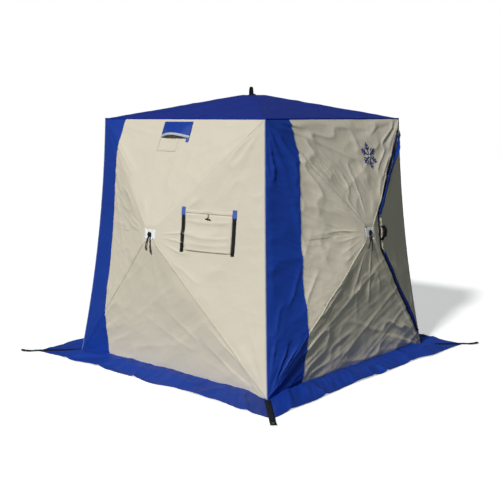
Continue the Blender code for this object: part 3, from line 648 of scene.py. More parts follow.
def bindingTape(name, dark, light):
    # folded polyester binding: fine ribs across, sewn down near one edge
    made, tree, shader, seam = startFinish(name, 0.58, "seam")
    ribs = waves(tree, acrossAndAlong(tree, seam)[0], 0.0020)
    tone = addNode(tree, "TexNoise", {"Vector": seam, "Scale": 30.0, "Detail": 4.0})
    dress(tree, shader, tone, dark, light, ribs, 0.0002, 0.5)
    return made


def printedInk():
    # screen-printed plastisol ink: flat navy, smoother than the cloth around it
    made, tree, shader, flat = startFinish("screen-printed plastisol ink", 0.38, "flat")
    tone = addNode(tree, "TexNoise", {"Vector": flat, "Scale": 40.0})
    dress(tree, shader, tone, "#252f78", "#2c3787", plainWeave(tree, flat), 0.00008, 0.5)
    return made


sand, royal, roofBlue = clothLook["sand"], clothLook["royal"], clothLook["roof"]
looks = {
    "wall": oxfordCloth("coated oxford polyester, royal and sand", sand, royal),
    "wallSeam": oxfordCloth("felled seam of oxford polyester, royal and sand", sand, royal, True),
    "sand": oxfordCloth("coated oxford polyester, sand", sand),
    "sandSeam": oxfordCloth("stitched hem of oxford polyester, sand", sand, None, True),
    "royal": oxfordCloth("coated oxford polyester, royal", royal),
    "royalSeam": oxfordCloth("stitched hem of oxford polyester, royal", royal, None, True),
    "roof": oxfordCloth("coated oxford polyester, roof royal", roofBlue),
    "roofSeam": oxfordCloth("felled seam of oxford polyester, roof royal", roofBlue, None, True),
    "inner": innerCoat(),
    "webbing": webbing("black polypropylene webbing", "#0b0c0e", "#15161a"),
    "blueWebbing": webbing("blue polyester pull tab", "#3f5fb8", "#5674c6"),
    "hub": mouldedNylon("glass-filled nylon hub", "#1a1b1e", "#4b4d52", 0.46),
    "knuckle": mouldedNylon("glass-filled nylon knuckle", "#1e1f22", "#55575c", 0.52),
    "rod": pultrudedRod(),
    "tape": zipTape(),
    "coil": zipCoil(),
    "slider": blackedZinc(),
    "steel": zincedSteel(),
    "vinyl": clearVinyl(),
    "mesh": ventMesh(),
    "patch": patchCloth(),
    "paleBinding": bindingTape("pale grey polyester binding", "#b4b8c2", "#c9ccd4"),
    "lilacBinding": bindingTape("lilac grey polyester piping", "#6f78b4", "#8a92c4"),
    "ink": printedInk(),
}
print("finishes made")

view = {"place": (4.279, -4.890, 1.717), "turn": 41.41, "tilt": -8.55, "lens": 64.03}
light = {"toward": (0.182, -0.81, 0.575), "strength": 2.95, "spread": 5.0, "fillToward": (-0.66, 0.72, 0.14),
         "fill": 0.45, "fillSpread": 40.0, "ambient": 0.148, "sky": (0.88, 1.0, 0.97, 1.0)}
studio = {"radius": 30.0, "wall": 40.0, "floor": "#f3f3f3", "floorGlow": 0.42, "wallGlow": 1.0, "drop": 0.0006}


def addCamera():
    data = bpy.data.cameras.new("camera")
    data.lens = view["lens"]
    data.sensor_width = 36
    camera = bpy.data.objects.new("camera", data)
    bpy.context.scene.collection.objects.link(camera)
    camera.location = view["place"]
    camera.rotation_euler = (math.radians(90 + view["tilt"]), 0, math.radians(view["turn"]))
    bpy.context.scene.camera = camera


def addLight():
    for name, toward, strength, spread in (
            ("studio key", light["toward"], light["strength"], light["spread"]),
            ("studio fill", light["fillToward"], light["fill"], light["fillSpread"])):
        sun = bpy.data.lights.new(name, "SUN")
        sun.energy = strength
        sun.angle = math.radians(spread)
        item = bpy.data.objects.new(name, sun)
        bpy.context.scene.collection.objects.link(item)
        item.rotation_euler = Vector(toward).to_track_quat("Z", "Y").to_euler()
        item.visible_glossy = name == "studio key"      # the fill leaves no shine on the roof
    world = bpy.data.worlds.new("studio")
    bpy.context.scene.world = world
    world.use_nodes = True
    world.node_tree.nodes["Background"].inputs[0].default_value = light["sky"]
    world.node_tree.nodes["Background"].inputs[1].default_value = light["ambient"]
    bpy.context.scene.view_settings.view_transform = "Standard"


def addStudio():
    # a pale floor and a pale wall all round; neither throws light on the shelter
    reach = studio["radius"]
    rings = [(0.0, 0.0), (reach, 0.0), (reach + 3, 1.5), (reach + 4, studio["wall"])]
    for name, part, base, glow in (("floor", rings[:2], studio["floor"], studio["floorGlow"]),
                                   ("backdrop", rings[1:], "#000000", studio["wallGlow"])):
        made = bpy.data.materials.new(f"studio {name}")
        made.use_nodes = True
        shader = made.node_tree.nodes["Principled BSDF"]
        for socket, value in (("Roughness", 0.95), ("Metallic", 0.0), ("Base Color", linear(base)),
                              ("Specular IOR Level", 0.0), ("Emission Color", (1.0, 1.0, 1.0, 1.0)),
                              ("Emission Strength", glow)):
            shader.inputs[socket].default_value = value
        item = turnedMesh(name, part, made, sides=96, capped=False)
        item.location.z = -studio["drop"]
        item.visible_diffuse = False
        item.visible_glossy = False
        item.visible_shadow = False


addCamera()
addLight()
addStudio()
print("camera, floor and light set")

grain = {"front": 0.012, "right": 0.009, "back": 0.017, "left": 0.017, "roof": 0.015}  # spacing of the points
door = {"lap": 0.040, "way": 0.055, "seamIn": 0.060, "wayShare": 0.905, "tip": 0.175, "wayTip": 0.21,
        "zipIn": 0.024, "zipSeamIn": 0.050, "zipTip": 0.142, "tapeWide": 0.024,
        "hemIn": 0.050, "hemSeamIn": 0.205, "hemTip": 0.185, "hemWide": 0.018,
        "fold": (0.040, 0.140)}     # the cloth turns between these distances from the hinge's line
window = {"left": 0.235, "right": 0.600, "low": -0.078, "high": 0.158, "tape": 0.024,
          "wayIn": 0.030, "wayLow": 0.020, "wayHigh": 0.030,
          "flapCut": (0.33, 0.245), "vinylCut": (0.32, 0.225)}
vent = {"left": -0.115, "right": 0.150, "low": 0.640, "high": 0.744, "wayIn": 0.030, "wayLow": 0.012,
        "hoodCut": (0.285, 0.115), "nettingCut": (0.225, 0.084)}


def edgeFrame(panel, edge):
    # unit direction inwards from an edge's chord, and the distance to the hub's axis
    ax, ay = panel["corners"][edge]
    bx, by = panel["corners"][(edge + 1) % 4]
    length = math.hypot(bx - ax, by - ay)
    inward = Vector((-(by - ay) / length, (bx - ax) / length))
    return inward, -(ax * inward.x + ay * inward.y), length


def blendToHub(item):
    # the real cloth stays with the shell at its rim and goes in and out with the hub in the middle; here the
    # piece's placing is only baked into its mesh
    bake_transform(item)


def creaseWay(panel, corner):
    cx, cy = panel["corners"][corner]
    return Vector((cx, cy)).normalized()


def doorSide(panel, x, y):
    # distances from the lower and the upper right crease, towards the middle of the door facet
    low = creaseWay(panel, 0)
    high = creaseWay(panel, 1)
    return -low.y * x + low.x * y, high.y * x - high.x * y


def doorHole(panel):
    low = creaseWay(panel, 0)
    high = creaseWay(panel, 1)
    way = door["way"]
    cuts = [
        ((-low.y * way, low.x * way), tuple(low)),
        ((high.y * way, -high.x * way), tuple(high)),
        ((door["wayTip"], 0), (0, 1)),
    ]

    def inside(x, y):
        fromLow, fromHigh = doorSide(panel, x, y)
        share, _ = shareAndRim(panel, np.array([x]), np.array([y]))
        return fromLow > way and fromHigh > way and x > door["wayTip"] and share[0] < door["wayShare"]

    return cuts, inside


def rectangleHole(left, right, low, high):
    cuts = [((left, 0), (0, 1)), ((right, 0), (0, 1)), ((0, low), (1, 0)), ((0, high), (1, 0))]
    return cuts, lambda x, y: left < x < right and low < y < high


def facetHole(panel, edge):
    if panel["name"] == "right" and edge == 0:
        return doorHole(panel)
    if panel["name"] == "front" and edge == 0:
        inset = window["wayIn"]
        return rectangleHole(window["left"] + inset, window["right"] - inset,
                             window["low"] + window["wayLow"], window["high"] - window["wayHigh"])
    if panel["name"] == "front" and edge == 1:
        inset = vent["wayIn"]
        return rectangleHole(vent["left"] + inset, vent["right"] - inset,
                             vent["low"] + vent["wayLow"], vent["high"] - inset)
    return None


def facetGrid(panel, edge):
    _, reach, length = edgeFrame(panel, edge)
    spacing = grain[panel["name"]]
    along = np.linspace(0, 1, int(length / spacing) + 2)
    share = np.linspace(0.014, 1, int(reach / spacing) + 2)
    if panel["name"] == "right" and edge == 0:
        share[np.argmin(np.abs(share - door["wayShare"]))] = door["wayShare"]
    ex, ey, _ = rimPoints(panel, edge, along)
    return share[:, None] * ex[None, :], share[:, None] * ey[None, :]


def facetCut(panel, edge):
    # the flat cut's width, length and area, worked out from the pattern and not from the folded mesh
    _, reach, length = edgeFrame(panel, edge)
    sewn = shelter["seamAllowance"]
    rise = math.hypot(reach, shelter["clothAbovePins"] - panel["rimOut"])
    width = length + sewn
    if panel["name"] == "right" and edge == 0:
        # the border round the door: a strip along the corner, one along each rod, and the tip beside the hub
        corner = (1 - door["wayShare"]) * rise + sewn
        rods = [door["wayShare"] * math.hypot(*panel["corners"][k], panel["rimOut"]) for k in (0, 1)]
        low, high = creaseWay(panel, 0), creaseWay(panel, 1)
        gap = door["wayTip"] * (high.y / high.x - low.y / low.x) - door["way"] * (1 / high.x + 1 / low.x)
        tip = gap * gap / (high.y / high.x - low.y / low.x) / 2
        wide = corner + 2 * (door["way"] + sewn)
        return width, wide, width * corner + sum(rods) * (door["way"] + sewn) + tip
    area = width * (rise + sewn) / 2
    if panel["name"] == "front" and edge == 0:
        area -= (window["right"] - window["left"] - 2 * window["wayIn"]) * rise / reach * (
            window["high"] - window["wayHigh"] - window["low"] - window["wayLow"])
    if panel["name"] == "front" and edge == 1:
        area -= (vent["right"] - vent["left"] - 2 * vent["wayIn"]) * rise / reach * (
            vent["high"] - vent["wayIn"] - vent["low"] - vent["wayLow"])
    return width, rise + sewn, area


def addFacet(panel, edge):
    name = panel["name"]
    x, y = facetGrid(panel, edge)
    outer = looks["roof"] if name == "roof" else looks["wall"]
    item = sheetObject(f"cloth_{name}_{edgeNames[edge]}", x, y, clothOut(panel, x, y), [outer, looks["inner"]],
                       panel["place"], shelter["clothThick"], hole=facetHole(panel, edge))
    if edge == 0:
        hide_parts("roof_cover" if name == "roof" else f"wall_{name}")
    width, length, area = facetCut(panel, edge)
    blendToHub(item)


for panel in panels.values():
    for edge in range(4):
        addFacet(panel, edge)
print("panels made")

seam = {"width": 0.013, "stripWidth": 0.010, "start": 0.055, "end": 0.006, "lift": 0.0002, "crown": 0.0006}
piping = {"corner": 0.0034, "eave": 0.0045, "foot": 0.0042, "eaveLift": 0.001}


def addSeam(name, panel, ends, look, width=seam["width"]):
    item = ribbonOnCloth(name, panel, ends, width, [look], lift=seam["lift"], crown=seam["crown"])
    blendToHub(item)


def stripEdge(panel, y):
    top = panel["corners"][1][1]
    foot = panel["corners"][0][1]
    share = (y - foot) / (top - foot)
    return clothLook["stripFoot"] + (clothLook["stripTop"] - clothLook["stripFoot"]) * share


def addPanelSeams(panel):
    name = panel["name"]
    look = looks["roofSeam"] if name == "roof" else looks["wallSeam"]
    for k, corner in enumerate(panel["corners"]):
        if name == "front" and k in (1, 2):
            continue    # the rod sleeves of the window wall's upper half are sewn on its inside
        way = creaseWay(panel, k)
        length = math.hypot(*corner)
        ends = [tuple(way * seam["start"]), tuple(way * (length - seam["end"]))]
        addSeam(f"rod_seam_{name}_{k + 1}", panel, ends, look)
    if name == "roof":
        return
    # the felled seam between the royal strip and the sand cloth, facet by facet
    high = creaseWay(panel, 2)
    low = creaseWay(panel, 3)
    turnHigh = stripEdge(panel, 0.5) * high.y / high.x
    turnLow = stripEdge(panel, -0.5) * low.y / low.x
    stops = [panel["corners"][1][1] - 0.004, turnHigh, turnLow, panel["corners"][0][1] + 0.004]
    for edge, upper, lower in zip((1, 2, 3), stops, stops[1:]):
        ends = [(stripEdge(panel, upper), upper), (stripEdge(panel, lower), lower)]
        addSeam(f"strip_seam_{name}_{edgeNames[edge]}", panel, ends, looks["wallSeam"],
                seam["stripWidth"])


def rimLine(panel, edge, count):
    return [panel["place"] @ Vector(p) for p in zip(*rimPoints(panel, edge, np.linspace(0, 1, count)))]


def addPiping():
    # corded piping down each corner, round the eaves and along the foot
    for side, name in enumerate(wallNames):
        here = rimLine(panels[name], 0, 40)
        there = reversed(rimLine(panels[wallNames[(side + 1) % 4]], 2, 40))
        corner = [(a + b) / 2 for a, b in zip(here, there)]
        eave = [p + Vector((0, 0, piping["eaveLift"])) for p in rimLine(panels[name], 1, 30)]
        for label, path, radius, look, slot in (
                (f"corner_piping_{cornerNames[side]}", corner, piping["corner"], "lilacBinding", "wall_cloth"),
                (f"eave_piping_{name}", eave, piping["eave"], "roofSeam", "roof_cloth"),
                (f"foot_piping_{name}", rimLine(panels[name], 3, 30), piping["foot"], "royalSeam", "skirt_cloth")):
            attach(tubeMesh(label, path, radius, looks[look]), "shell")


for panel in panels.values():
    addPanelSeams(panel)
addPiping()
print("seams made")

patch = {"halfWide": 0.050, "halfHigh": 0.033, "lift": 0.0001, "thick": 0.0005, "hole": 0.0095}


def addHubPatch(panel):
    # four sewn quarters, one to each facet
    wide = patch["halfWide"]
    high = patch["halfHigh"] if panel["bowed"] else wide
    look = looks["patch"] if panel["bowed"] else looks["roof"]
    for edge in range(4):
        ways = [creaseWay(panel, edge), creaseWay(panel, (edge + 1) % 4)]
        turns = [math.atan2(way.y, way.x) % (2 * math.pi) for way in ways]
        if turns[1] < turns[0]:
            turns[1] += 2 * math.pi
        points = [math.atan2(high * j, wide * i) % (2 * math.pi) + lap for i in (1, -1) for j in (1, -1)
                  for lap in (0, 2 * math.pi)]
        turn = np.array(sorted(list(np.linspace(*turns, 9)) + [p for p in points if turns[0] < p < turns[1]]))
        far = np.minimum(wide / np.maximum(np.abs(np.cos(turn)), 1e-6),
                         high / np.maximum(np.abs(np.sin(turn)), 1e-6))
        radius = patch["hole"] + (far[None, :] - patch["hole"]) * np.linspace(0, 1, 8)[:, None]
        x = np.cos(turn)[None, :] * radius
        y = np.sin(turn)[None, :] * radius
        out = clothOut(panel, x, y) + patch["lift"] + patch["thick"]
        fromMiddle = np.maximum(np.abs(x) / wide, np.abs(y) / high) * high
        item = sheetObject(f"hub_patch_{panel['name']}_{edgeNames[edge]}", x, y, out, [look], panel["place"],
                           patch["thick"], np.stack([x + y, fromMiddle], axis=-1))
        blendToHub(item)


for panel in panels.values():
    addHubPatch(panel)
print("hub patches made")

# turn is one turn of the coil; real ones are 1.5 mm, drawn coarser so that they show
zipper = {"coilWidth": 0.0075, "coilRise": 0.0016, "turn": 0.0036, "thick": 0.0008, "lift": 0.0009}


def addZip(name, panel, ends, width):
    tape = ribbonOnCloth(f"{name}_tape", panel, ends, width, [looks["tape"]], lift=zipper["lift"],
                         thick=zipper["thick"], columns=7, step=0.02)

    def turns(along, across):
        swing = np.abs(np.sin(along * math.pi / zipper["turn"] + np.sign(across) * math.pi / 4))
        return -zipper["coilRise"] * 0.5 * swing * (np.abs(across) > 0.0005)

    coil = ribbonOnCloth(f"{name}_coil", panel, ends, zipper["coilWidth"], [looks["coil"]],
                         lift=zipper["lift"] + zipper["thick"], crown=zipper["coilRise"],
                         thick=zipper["thick"], columns=7, step=zipper["turn"] / 4, shape=turns)
    for piece in (tape, coil):
        blendToHub(piece)


def besideCrease(panel, upper, offset, x):
    way = creaseWay(panel, 1 if upper else 0)
    side = Vector((way.y, -way.x)) if upper else Vector((-way.y, way.x))
    start = side * offset
    return start + way * ((x - start.x) / way.x)


def besideSeam(panel, offset, y):
    rim = panel["rim"][:shelter["seamSteps"] + 1]
    return float(np.interp(y, rim[:, 1], rim[:, 0])) - offset


def seamEnd(panel, upper, offset, seamOffset):
    x = 0.7
    for _ in range(30):
        y = besideCrease(panel, upper, offset, x).y
        x = besideSeam(panel, seamOffset, y)
    return Vector((x, y))


def doorGrid(panel, spacing):
    low = seamEnd(panel, False, door["lap"], door["seamIn"])
    high = seamEnd(panel, True, door["lap"], door["seamIn"])
    tipLow = besideCrease(panel, False, door["lap"], door["tip"])
    tipHigh = besideCrease(panel, True, door["lap"], door["tip"])
    up = np.linspace(0, 1, int((high.y - low.y) / spacing))
    out = np.linspace(0, 1, int((low.x - door["tip"]) / spacing))
    seamY = low.y + (high.y - low.y) * up
    seamX = np.array([besideSeam(panel, door["seamIn"], v) for v in seamY])
    hubY = tipLow.y + (tipHigh.y - tipLow.y) * up
    x = door["tip"] + (seamX - door["tip"])[None, :] * out[:, None]
    y = hubY[None, :] + (seamY - hubY)[None, :] * out[:, None]
    return x, y


def blendToDoor(item):
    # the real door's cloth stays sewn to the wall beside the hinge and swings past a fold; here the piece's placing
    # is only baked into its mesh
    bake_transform(item)


def addDoor():
    panel = panels["right"]
    x, y = doorGrid(panel, 0.011)
    hem = np.clip(1 - np.minimum(*doorSide(panel, x, y)) / (door["lap"] + 0.02), 0, 1)
    item = sheetObject("door_cloth", x, y, clothOut(panel, x, y) + 0.0028 + 0.001 * hem,
                       [looks["sand"], looks["inner"]], panel["place"], 0.0014)
    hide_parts("door_panel")
    blendToDoor(item)
    # the zip runs along both creases and is shut beside the hub
    low, high = [seamEnd(panel, upper, door["zipIn"], door["zipSeamIn"]) for upper in (False, True)]
    bendLow, bendHigh = [besideCrease(panel, upper, door["zipIn"], door["zipTip"]) for upper in (False, True)]
    addZip("door_zip_low", panel, [low, bendLow], door["tapeWide"])
    addZip("door_zip_high", panel, [bendHigh, high], door["tapeWide"])
    bend = ribbonOnCloth("door_zip_bend", panel, [bendLow, bendHigh], door["tapeWide"], [looks["tape"]],
                         lift=zipper["lift"], columns=7, step=0.01)
    attach(bend, "door_side", "door_zip_tape")
    addDoorHems(panel)
    addStormFlap(panel)


def addDoorHems(panel):
    inset, seamIn, tip = door["hemIn"], door["hemSeamIn"], door["hemTip"]
    hems = {
        "low": [seamEnd(panel, False, inset, seamIn), besideCrease(panel, False, inset, tip)],
        "high": [besideCrease(panel, True, inset, tip), seamEnd(panel, True, inset, seamIn)],
        "tip": [besideCrease(panel, upper, inset, tip + 0.002) for upper in (False, True)],
    }
    for label, ends in hems.items():
        item = ribbonOnCloth(f"door_hem_{label}", panel, ends, door["hemWide"], [looks["sandSeam"]], lift=0.0046,
                             crown=0.0005)
        attach(item, "door_panel")
    # a narrow royal welt that covers the lower zip
    ends = [seamEnd(panel, False, 0.032, 0.062), besideCrease(panel, False, 0.032, 0.190)]
    item = ribbonOnCloth("door_lower_welt", panel, ends, 0.030, [looks["roofSeam"], looks["roof"]], lift=0.004,
                         crown=0.003, columns=7, shape=lambda along, across: 0.006 - across * 0.10)
    blendToDoor(item)


stormFlap = {"from": 0.150, "to": 0.690, "inner": 0.068, "outer": 0.001, "bulge": 0.048, "cut": 0.08}


def addStormFlap(panel):
    # sewn to the door beside the upper zip, lying over it, and standing off near its top
    middle = 0.5 * (stormFlap["inner"] + stormFlap["outer"])
    start, end = [besideCrease(panel, True, middle, stormFlap[stop]) for stop in ("from", "to")]
    width = stormFlap["inner"] - stormFlap["outer"]
    total = (end - start).length

    def belly(along, across):
        free = np.clip(across / width + 0.5, 0, 1)      # 0 at the sewn edge, 1 at the loose one
        rise = 0.0036 + 0.0150 * np.sin(free * 2.2) ** 1.2
        top = np.exp(-((along / total - 0.74) / 0.20) ** 2)
        wave = 0.0030 * np.sin(along * 27 + 2.5 * np.sin(along * 9)) * free
        return rise + stormFlap["bulge"] * top * free ** 1.3 + wave

    item = ribbonOnCloth("door_storm_cloth", panel, [start, end], width, [looks["royalSeam"], looks["royal"]],
                         lift=0.0, thick=0.0014, columns=13, shape=belly)
    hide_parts("door_storm_flap")
    blendToDoor(item)


addDoor()
print("door made")


def addWindow():
    panel = panels["front"]
    tape, low, high = window["tape"], window["low"], window["high"]
    for label, x in (("left", window["left"] + tape / 2), ("right", window["right"] - tape / 2)):
        addZip(f"window_zip_{label}", panel, [(x, high - 0.012), (x, low)], tape)
        # a doubled blue tab covers the zip's upper end
        tab = ribbonOnCloth(f"window_tab_{label}", panel, [(x, high + 0.040), (x, high - 0.014)], tape + 0.003,
                            [looks["blueWebbing"]], lift=0.0022, crown=0.0012, thick=0.0018, columns=9, step=0.005)
        stop = ribbonOnCloth(f"window_zip_stop_{label}", panel, [(x, low + 0.004), (x, low - 0.012)], tape - 0.002,
                             [looks["webbing"]], lift=0.0022, crown=0.0008, thick=0.0014, step=0.004)
        for piece, slot in ((tab, "zip_tape"), (stop, "webbing")):
            blendToHub(piece)
    left = window["left"] + tape + 0.0012
    right = window["right"] - tape - 0.0012
    hem = ribbonOnCloth("window_top_hem", panel, [(left, high + 0.013), (right, high + 0.013)], 0.022,
                        [looks["sand"]], lift=0.0006, crown=0.0004, step=0.01)
    attach(hem, "window_side", "window_zip_frame")

    def slackFlap(x, y):
        # soft folds from side to side between the two zips
        u = (x - left) / (right - left)
        v = (high - y) / (high - low)
        held = np.clip(np.minimum(u, 1 - u) / 0.10, 0, 1) * np.clip(v / 0.25, 0, 1)
        sag = 0.30 * np.sin(math.pi * u)
        fold = crest(smoothNoise((y + 0.05 * sag) / 0.045 + 7, x / 0.5, 41), 1.6)
        return held * (0.0060 * fold + 0.002 * np.sin(math.pi * u))

    flap = sheetOnCloth("window_flap_cloth", panel, (left, low), (right, high - 0.001),
                        [looks["sand"], looks["inner"]], 0.0010, 0.0012, 0.008, slackFlap)
    attach(flap, "window_flap", "window_flap")
    lowHem = ribbonOnCloth("window_flap_hem", panel, [(left, low + 0.009), (right, low + 0.009)], 0.016,
                           [looks["sandSeam"]], lift=0.0030, crown=0.0006, step=0.01)
    attach(lowHem, "window_flap")
    pane = sheetOnCloth("window_vinyl", panel, (left, low + 0.006), (right, high - 0.016), [looks["vinyl"]],
                        -0.0060, 0.0006, 0.012, lambda x, y: 0.0012 * np.sin(x * 26 + y * 9))
    attach(pane, "window_side", "window_pane")
    addToggle(panel)


toggle = {"x": 0.415, "y": 0.129, "length": 0.046, "radius": 0.0048, "lean": 86, "cord": 0.0014}


def addToggle(panel):
    # a barrel toggle on an elastic loop, which holds the rolled flap
    x, y = toggle["x"], toggle["y"]
    out = float(clothOut(panel, np.array([x]), np.array([y]))[0]) + 0.0105
    half = toggle["length"] / 2
    upper = [(0.70, 0.14), (1.0, 0.45), (0.92, 0.82), (0.62, 0.97)]
    shape = [(r, -z) for r, z in reversed(upper)] + upper
    profile = [(0.0005, -half)] + [(r * toggle["radius"], half * z) for r, z in shape] + [(0.0005, half)]
    lie = panel["place"] @ Matrix.Translation((x, y, out)) @ Matrix.Rotation(math.radians(toggle["lean"]), 4, "Y")
    attach(turnedMesh("window_toggle", profile, looks["hub"], lie), "window_flap")
    path = [(-0.004, 0.030, -0.0065), (-0.004, 0.016, -0.005), (-0.0035, 0.005, 0), (-0.001, -0.0045, 0.0035),
            (0.0025, -0.002, 0.0055), (0.004, 0.006, 0), (0.004, 0.018, -0.005), (0.003, 0.030, -0.0065)]
    loop = tubeMesh("window_toggle_loop", smoothPath([(x + a, y + b, out + c) for a, b, c in path], 6),
                    toggle["cord"], looks["webbing"], panel["place"], 8)
    attach(loop, "window_flap")


addWindow()
print("window made")

hood = {"reach": 0.043, "arch": 0.16, "seat": 0.002, "lip": 0.016}
apron = {"left": -0.004, "right": 0.168, "low": -0.095, "hem": -0.088}  # from the vent's left and low edges


def hoodPoint(panel, u, v):
    # u across the hood, v from its sewn top edge down to its lip
    arch = np.sin(math.pi * u)
    x = vent["left"] + (vent["right"] - vent["left"]) * u
    y = vent["high"] - (vent["high"] - vent["low"]) * v * (1 - hood["arch"] * arch)
    lift = hood["seat"] + 0.001 + hood["reach"] * arch ** 0.9 * v ** 0.8
    crinkle = 0.0075 * (crest(smoothNoise(u * 8 + v * 2.5, v * 3.0 - u * 1.5, 57), 1.8) - 0.35) * v * arch
    return x, y, clothOut(panel, x, y) + lift + crinkle


def addVent():
    panel = panels["front"]
    left, right, low, high = [vent[side] for side in ("left", "right", "low", "high")]
    u, v = np.meshgrid(np.linspace(0, 1, 45), np.linspace(0, 1, 24))
    cloth = sheetObject("vent_hood_cloth", *hoodPoint(panel, u, v), [looks["royal"], looks["inner"]],
                        panel["place"], 0.0014)
    attach(cloth, "vent_hood", "vent_hood")
    addHoodBinding(panel)
    tab = sheetOnCloth("vent_hook_tab", panel, (right - 0.024, low - 0.030), (right + 0.001, low + 0.004),
                       [looks["blueWebbing"]], 0.003, 0.0016, 0.006)
    attach(tab, "vent_hood")
    # a sand apron with a sewn edge under the lip
    sides = [left + apron["left"], left + apron["right"]]
    sheet = sheetOnCloth("vent_apron", panel, (sides[0], low + apron["low"]), (sides[1], low + 0.002),
                         [looks["sand"]], 0.0006, 0.0009, 0.012)
    hem = ribbonOnCloth("vent_apron_hem", panel, [(x, low + apron["hem"]) for x in sides], 0.014,
                        [looks["sandSeam"]], lift=0.0016, crown=0.0005, step=0.008)
    for piece in (sheet, hem):
        blendToHub(piece)
    screen = sheetOnCloth("vent_netting", panel, (left + 0.022, low + 0.004), (right - 0.022, high - 0.022),
                          [looks["mesh"]], -0.005, 0.0008, 0.01)
    attach(screen, "vent_side", "vent_screen")


def addHoodBinding(panel):
    # the lip: a stiffened hem bound in pale tape, a closed section all along it
    rim = np.linspace(0, 1, 49)
    lx, ly, lo = hoodPoint(panel, rim, np.full_like(rim, 1.0))
    turns = [2 * math.pi * k / 8 for k in range(9)]
    rings = np.array([np.stack([lx, ly + 0.5 * hood["lip"] * (0.4 + math.cos(turn)),
                                lo - 0.0006 + 0.0022 * math.sin(turn)], axis=-1) for turn in turns])
    along, across = np.broadcast_arrays(rim * 0.30, (np.arange(9) * 0.001)[:, None])
    mesh = gridMesh("vent_hood_binding", rings, seam=np.stack([along, across], axis=-1))
    weld(mesh, 1e-6, True)
    attach(placeMesh(mesh, [looks["paleBinding"]], panel["place"], 55), "vent_hood")


def weld(mesh, distance, closeEnds=False):
    work = bmesh.new()
    work.from_mesh(mesh)
    bmesh.ops.remove_doubles(work, verts=work.verts, dist=distance)
    if closeEnds:
        bmesh.ops.holes_fill(work, edges=[edge for edge in work.edges if edge.is_boundary])
        bmesh.ops.recalc_face_normals(work, faces=work.faces)
    work.to_mesh(mesh)
    work.free()


addVent()
print("vent made")

skirt = {"inner": 0.8965, "rise": 0.034, "sag": 0.020, "wave": 0.022, "hump": 0.042, "ripple": 0.009,
         "perSide": 150, "across": 22}


def skirtPoint(side, t, v):
    # t along one side from corner to corner, v from the walls' foot to the outer edge
    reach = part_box("skirt")[1].x
    free = np.sin(math.pi * t) ** 0.6
    cornerMask = np.clip(np.minimum(t, 1 - t) / 0.10, 0, 1)
    cornerMask = cornerMask * cornerMask * (3 - 2 * cornerMask)
    seed = 71 + 13 * side
    wander = smoothNoise(t * 11, t * 0, seed) - 0.5
    draw = skirt["sag"] * np.sin(math.pi * t) + 2 * skirt["wave"] * wander * free
    outerY = -reach + draw
    x = (2 * t - 1) * (skirt["inner"] + (reach - skirt["inner"]) * v)
    y = -skirt["inner"] + (outerY + skirt["inner"]) * v
    slant = t * 15 + 0.7 * (v - 0.5) * np.sin(t * 11 + side)
    fold = crest(smoothNoise(slant, v * 0.9, seed + 3), 2.4)
    ripple = crest(smoothNoise(t * 41 + v * 1.4, v * 1.6 + t * 5, seed + 5), 1.6)
    z = 0.0022 + skirt["rise"] * (1 - v) ** 1.6 * cornerMask
    z = z + (skirt["hump"] * fold * (0.35 + 0.65 * v) + skirt["ripple"] * ripple) * cornerMask * np.sin(
        math.pi * np.clip(0.12 + 0.78 * v, 0, 1))
    turn = math.radians(90 * side)
    return x * math.cos(turn) - y * math.sin(turn), x * math.sin(turn) + y * math.cos(turn), z


def addSkirt():
    t, v = np.meshgrid(np.arange(skirt["perSide"]) / skirt["perSide"], np.linspace(0, 1, skirt["across"]))
    ring = np.concatenate([np.stack(skirtPoint(side, t, v), axis=-1) for side in range(4)], axis=1)
    ring = np.concatenate([ring, ring[:, :1]], axis=1)
    item = sheetObject("skirt_cloth", *np.moveaxis(ring, -1, 0), [looks["royal"], looks["inner"]], None, 0.0014)
    weld(item.data, 1e-5)
    attach(item, "shell", "skirt")
    reach = 2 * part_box("skirt")[1].x
    # the turned and stitched outer hem, one band to a side
    for side in range(4):
        t, v = np.meshgrid(np.linspace(0.012, 0.988, 140), np.linspace(0.900, 0.995, 5))
        x, y, z = skirtPoint(side, t, v)
        seamUv = np.stack([t * reach, (v - 0.9475) * 0.23], axis=-1)
        hem = sheetObject(f"skirt_hem_{wallNames[side]}", x, y, z + 0.0011, [looks["royalSeam"]], None, 0.0010,
                          seamUv)
        attach(hem, "shell")


addSkirt()
print("skirt made")

straps = {"stakeWidth": 0.038, "thick": 0.0021, "eyelet": 0.0062, "eyeletIn": 0.030, "foldLength": 0.075,
          "foldStep": 0.004}


def strapBand(name, profile, width, place, finish=looks["webbing"], columns=9):
    # webbing along a profile of run and height, with rounded selvedges
    profile = np.array(profile, float)
    along = np.concatenate([[0], np.cumsum(np.hypot(*np.diff(profile, axis=0).T))])
    across = np.linspace(-0.5, 0.5, columns) * width
    x, y = np.broadcast_arrays(profile[:, :1], across)
    z = profile[:, 1:] - (0.0006 * (np.abs(2 * across / width) > 0.9))[None, :]
    seamUv = np.stack(np.broadcast_arrays(along[:, None], across[None, :]), axis=-1)
    return sheetObject(name, x, y, z, [finish], place, straps["thick"], seamUv)


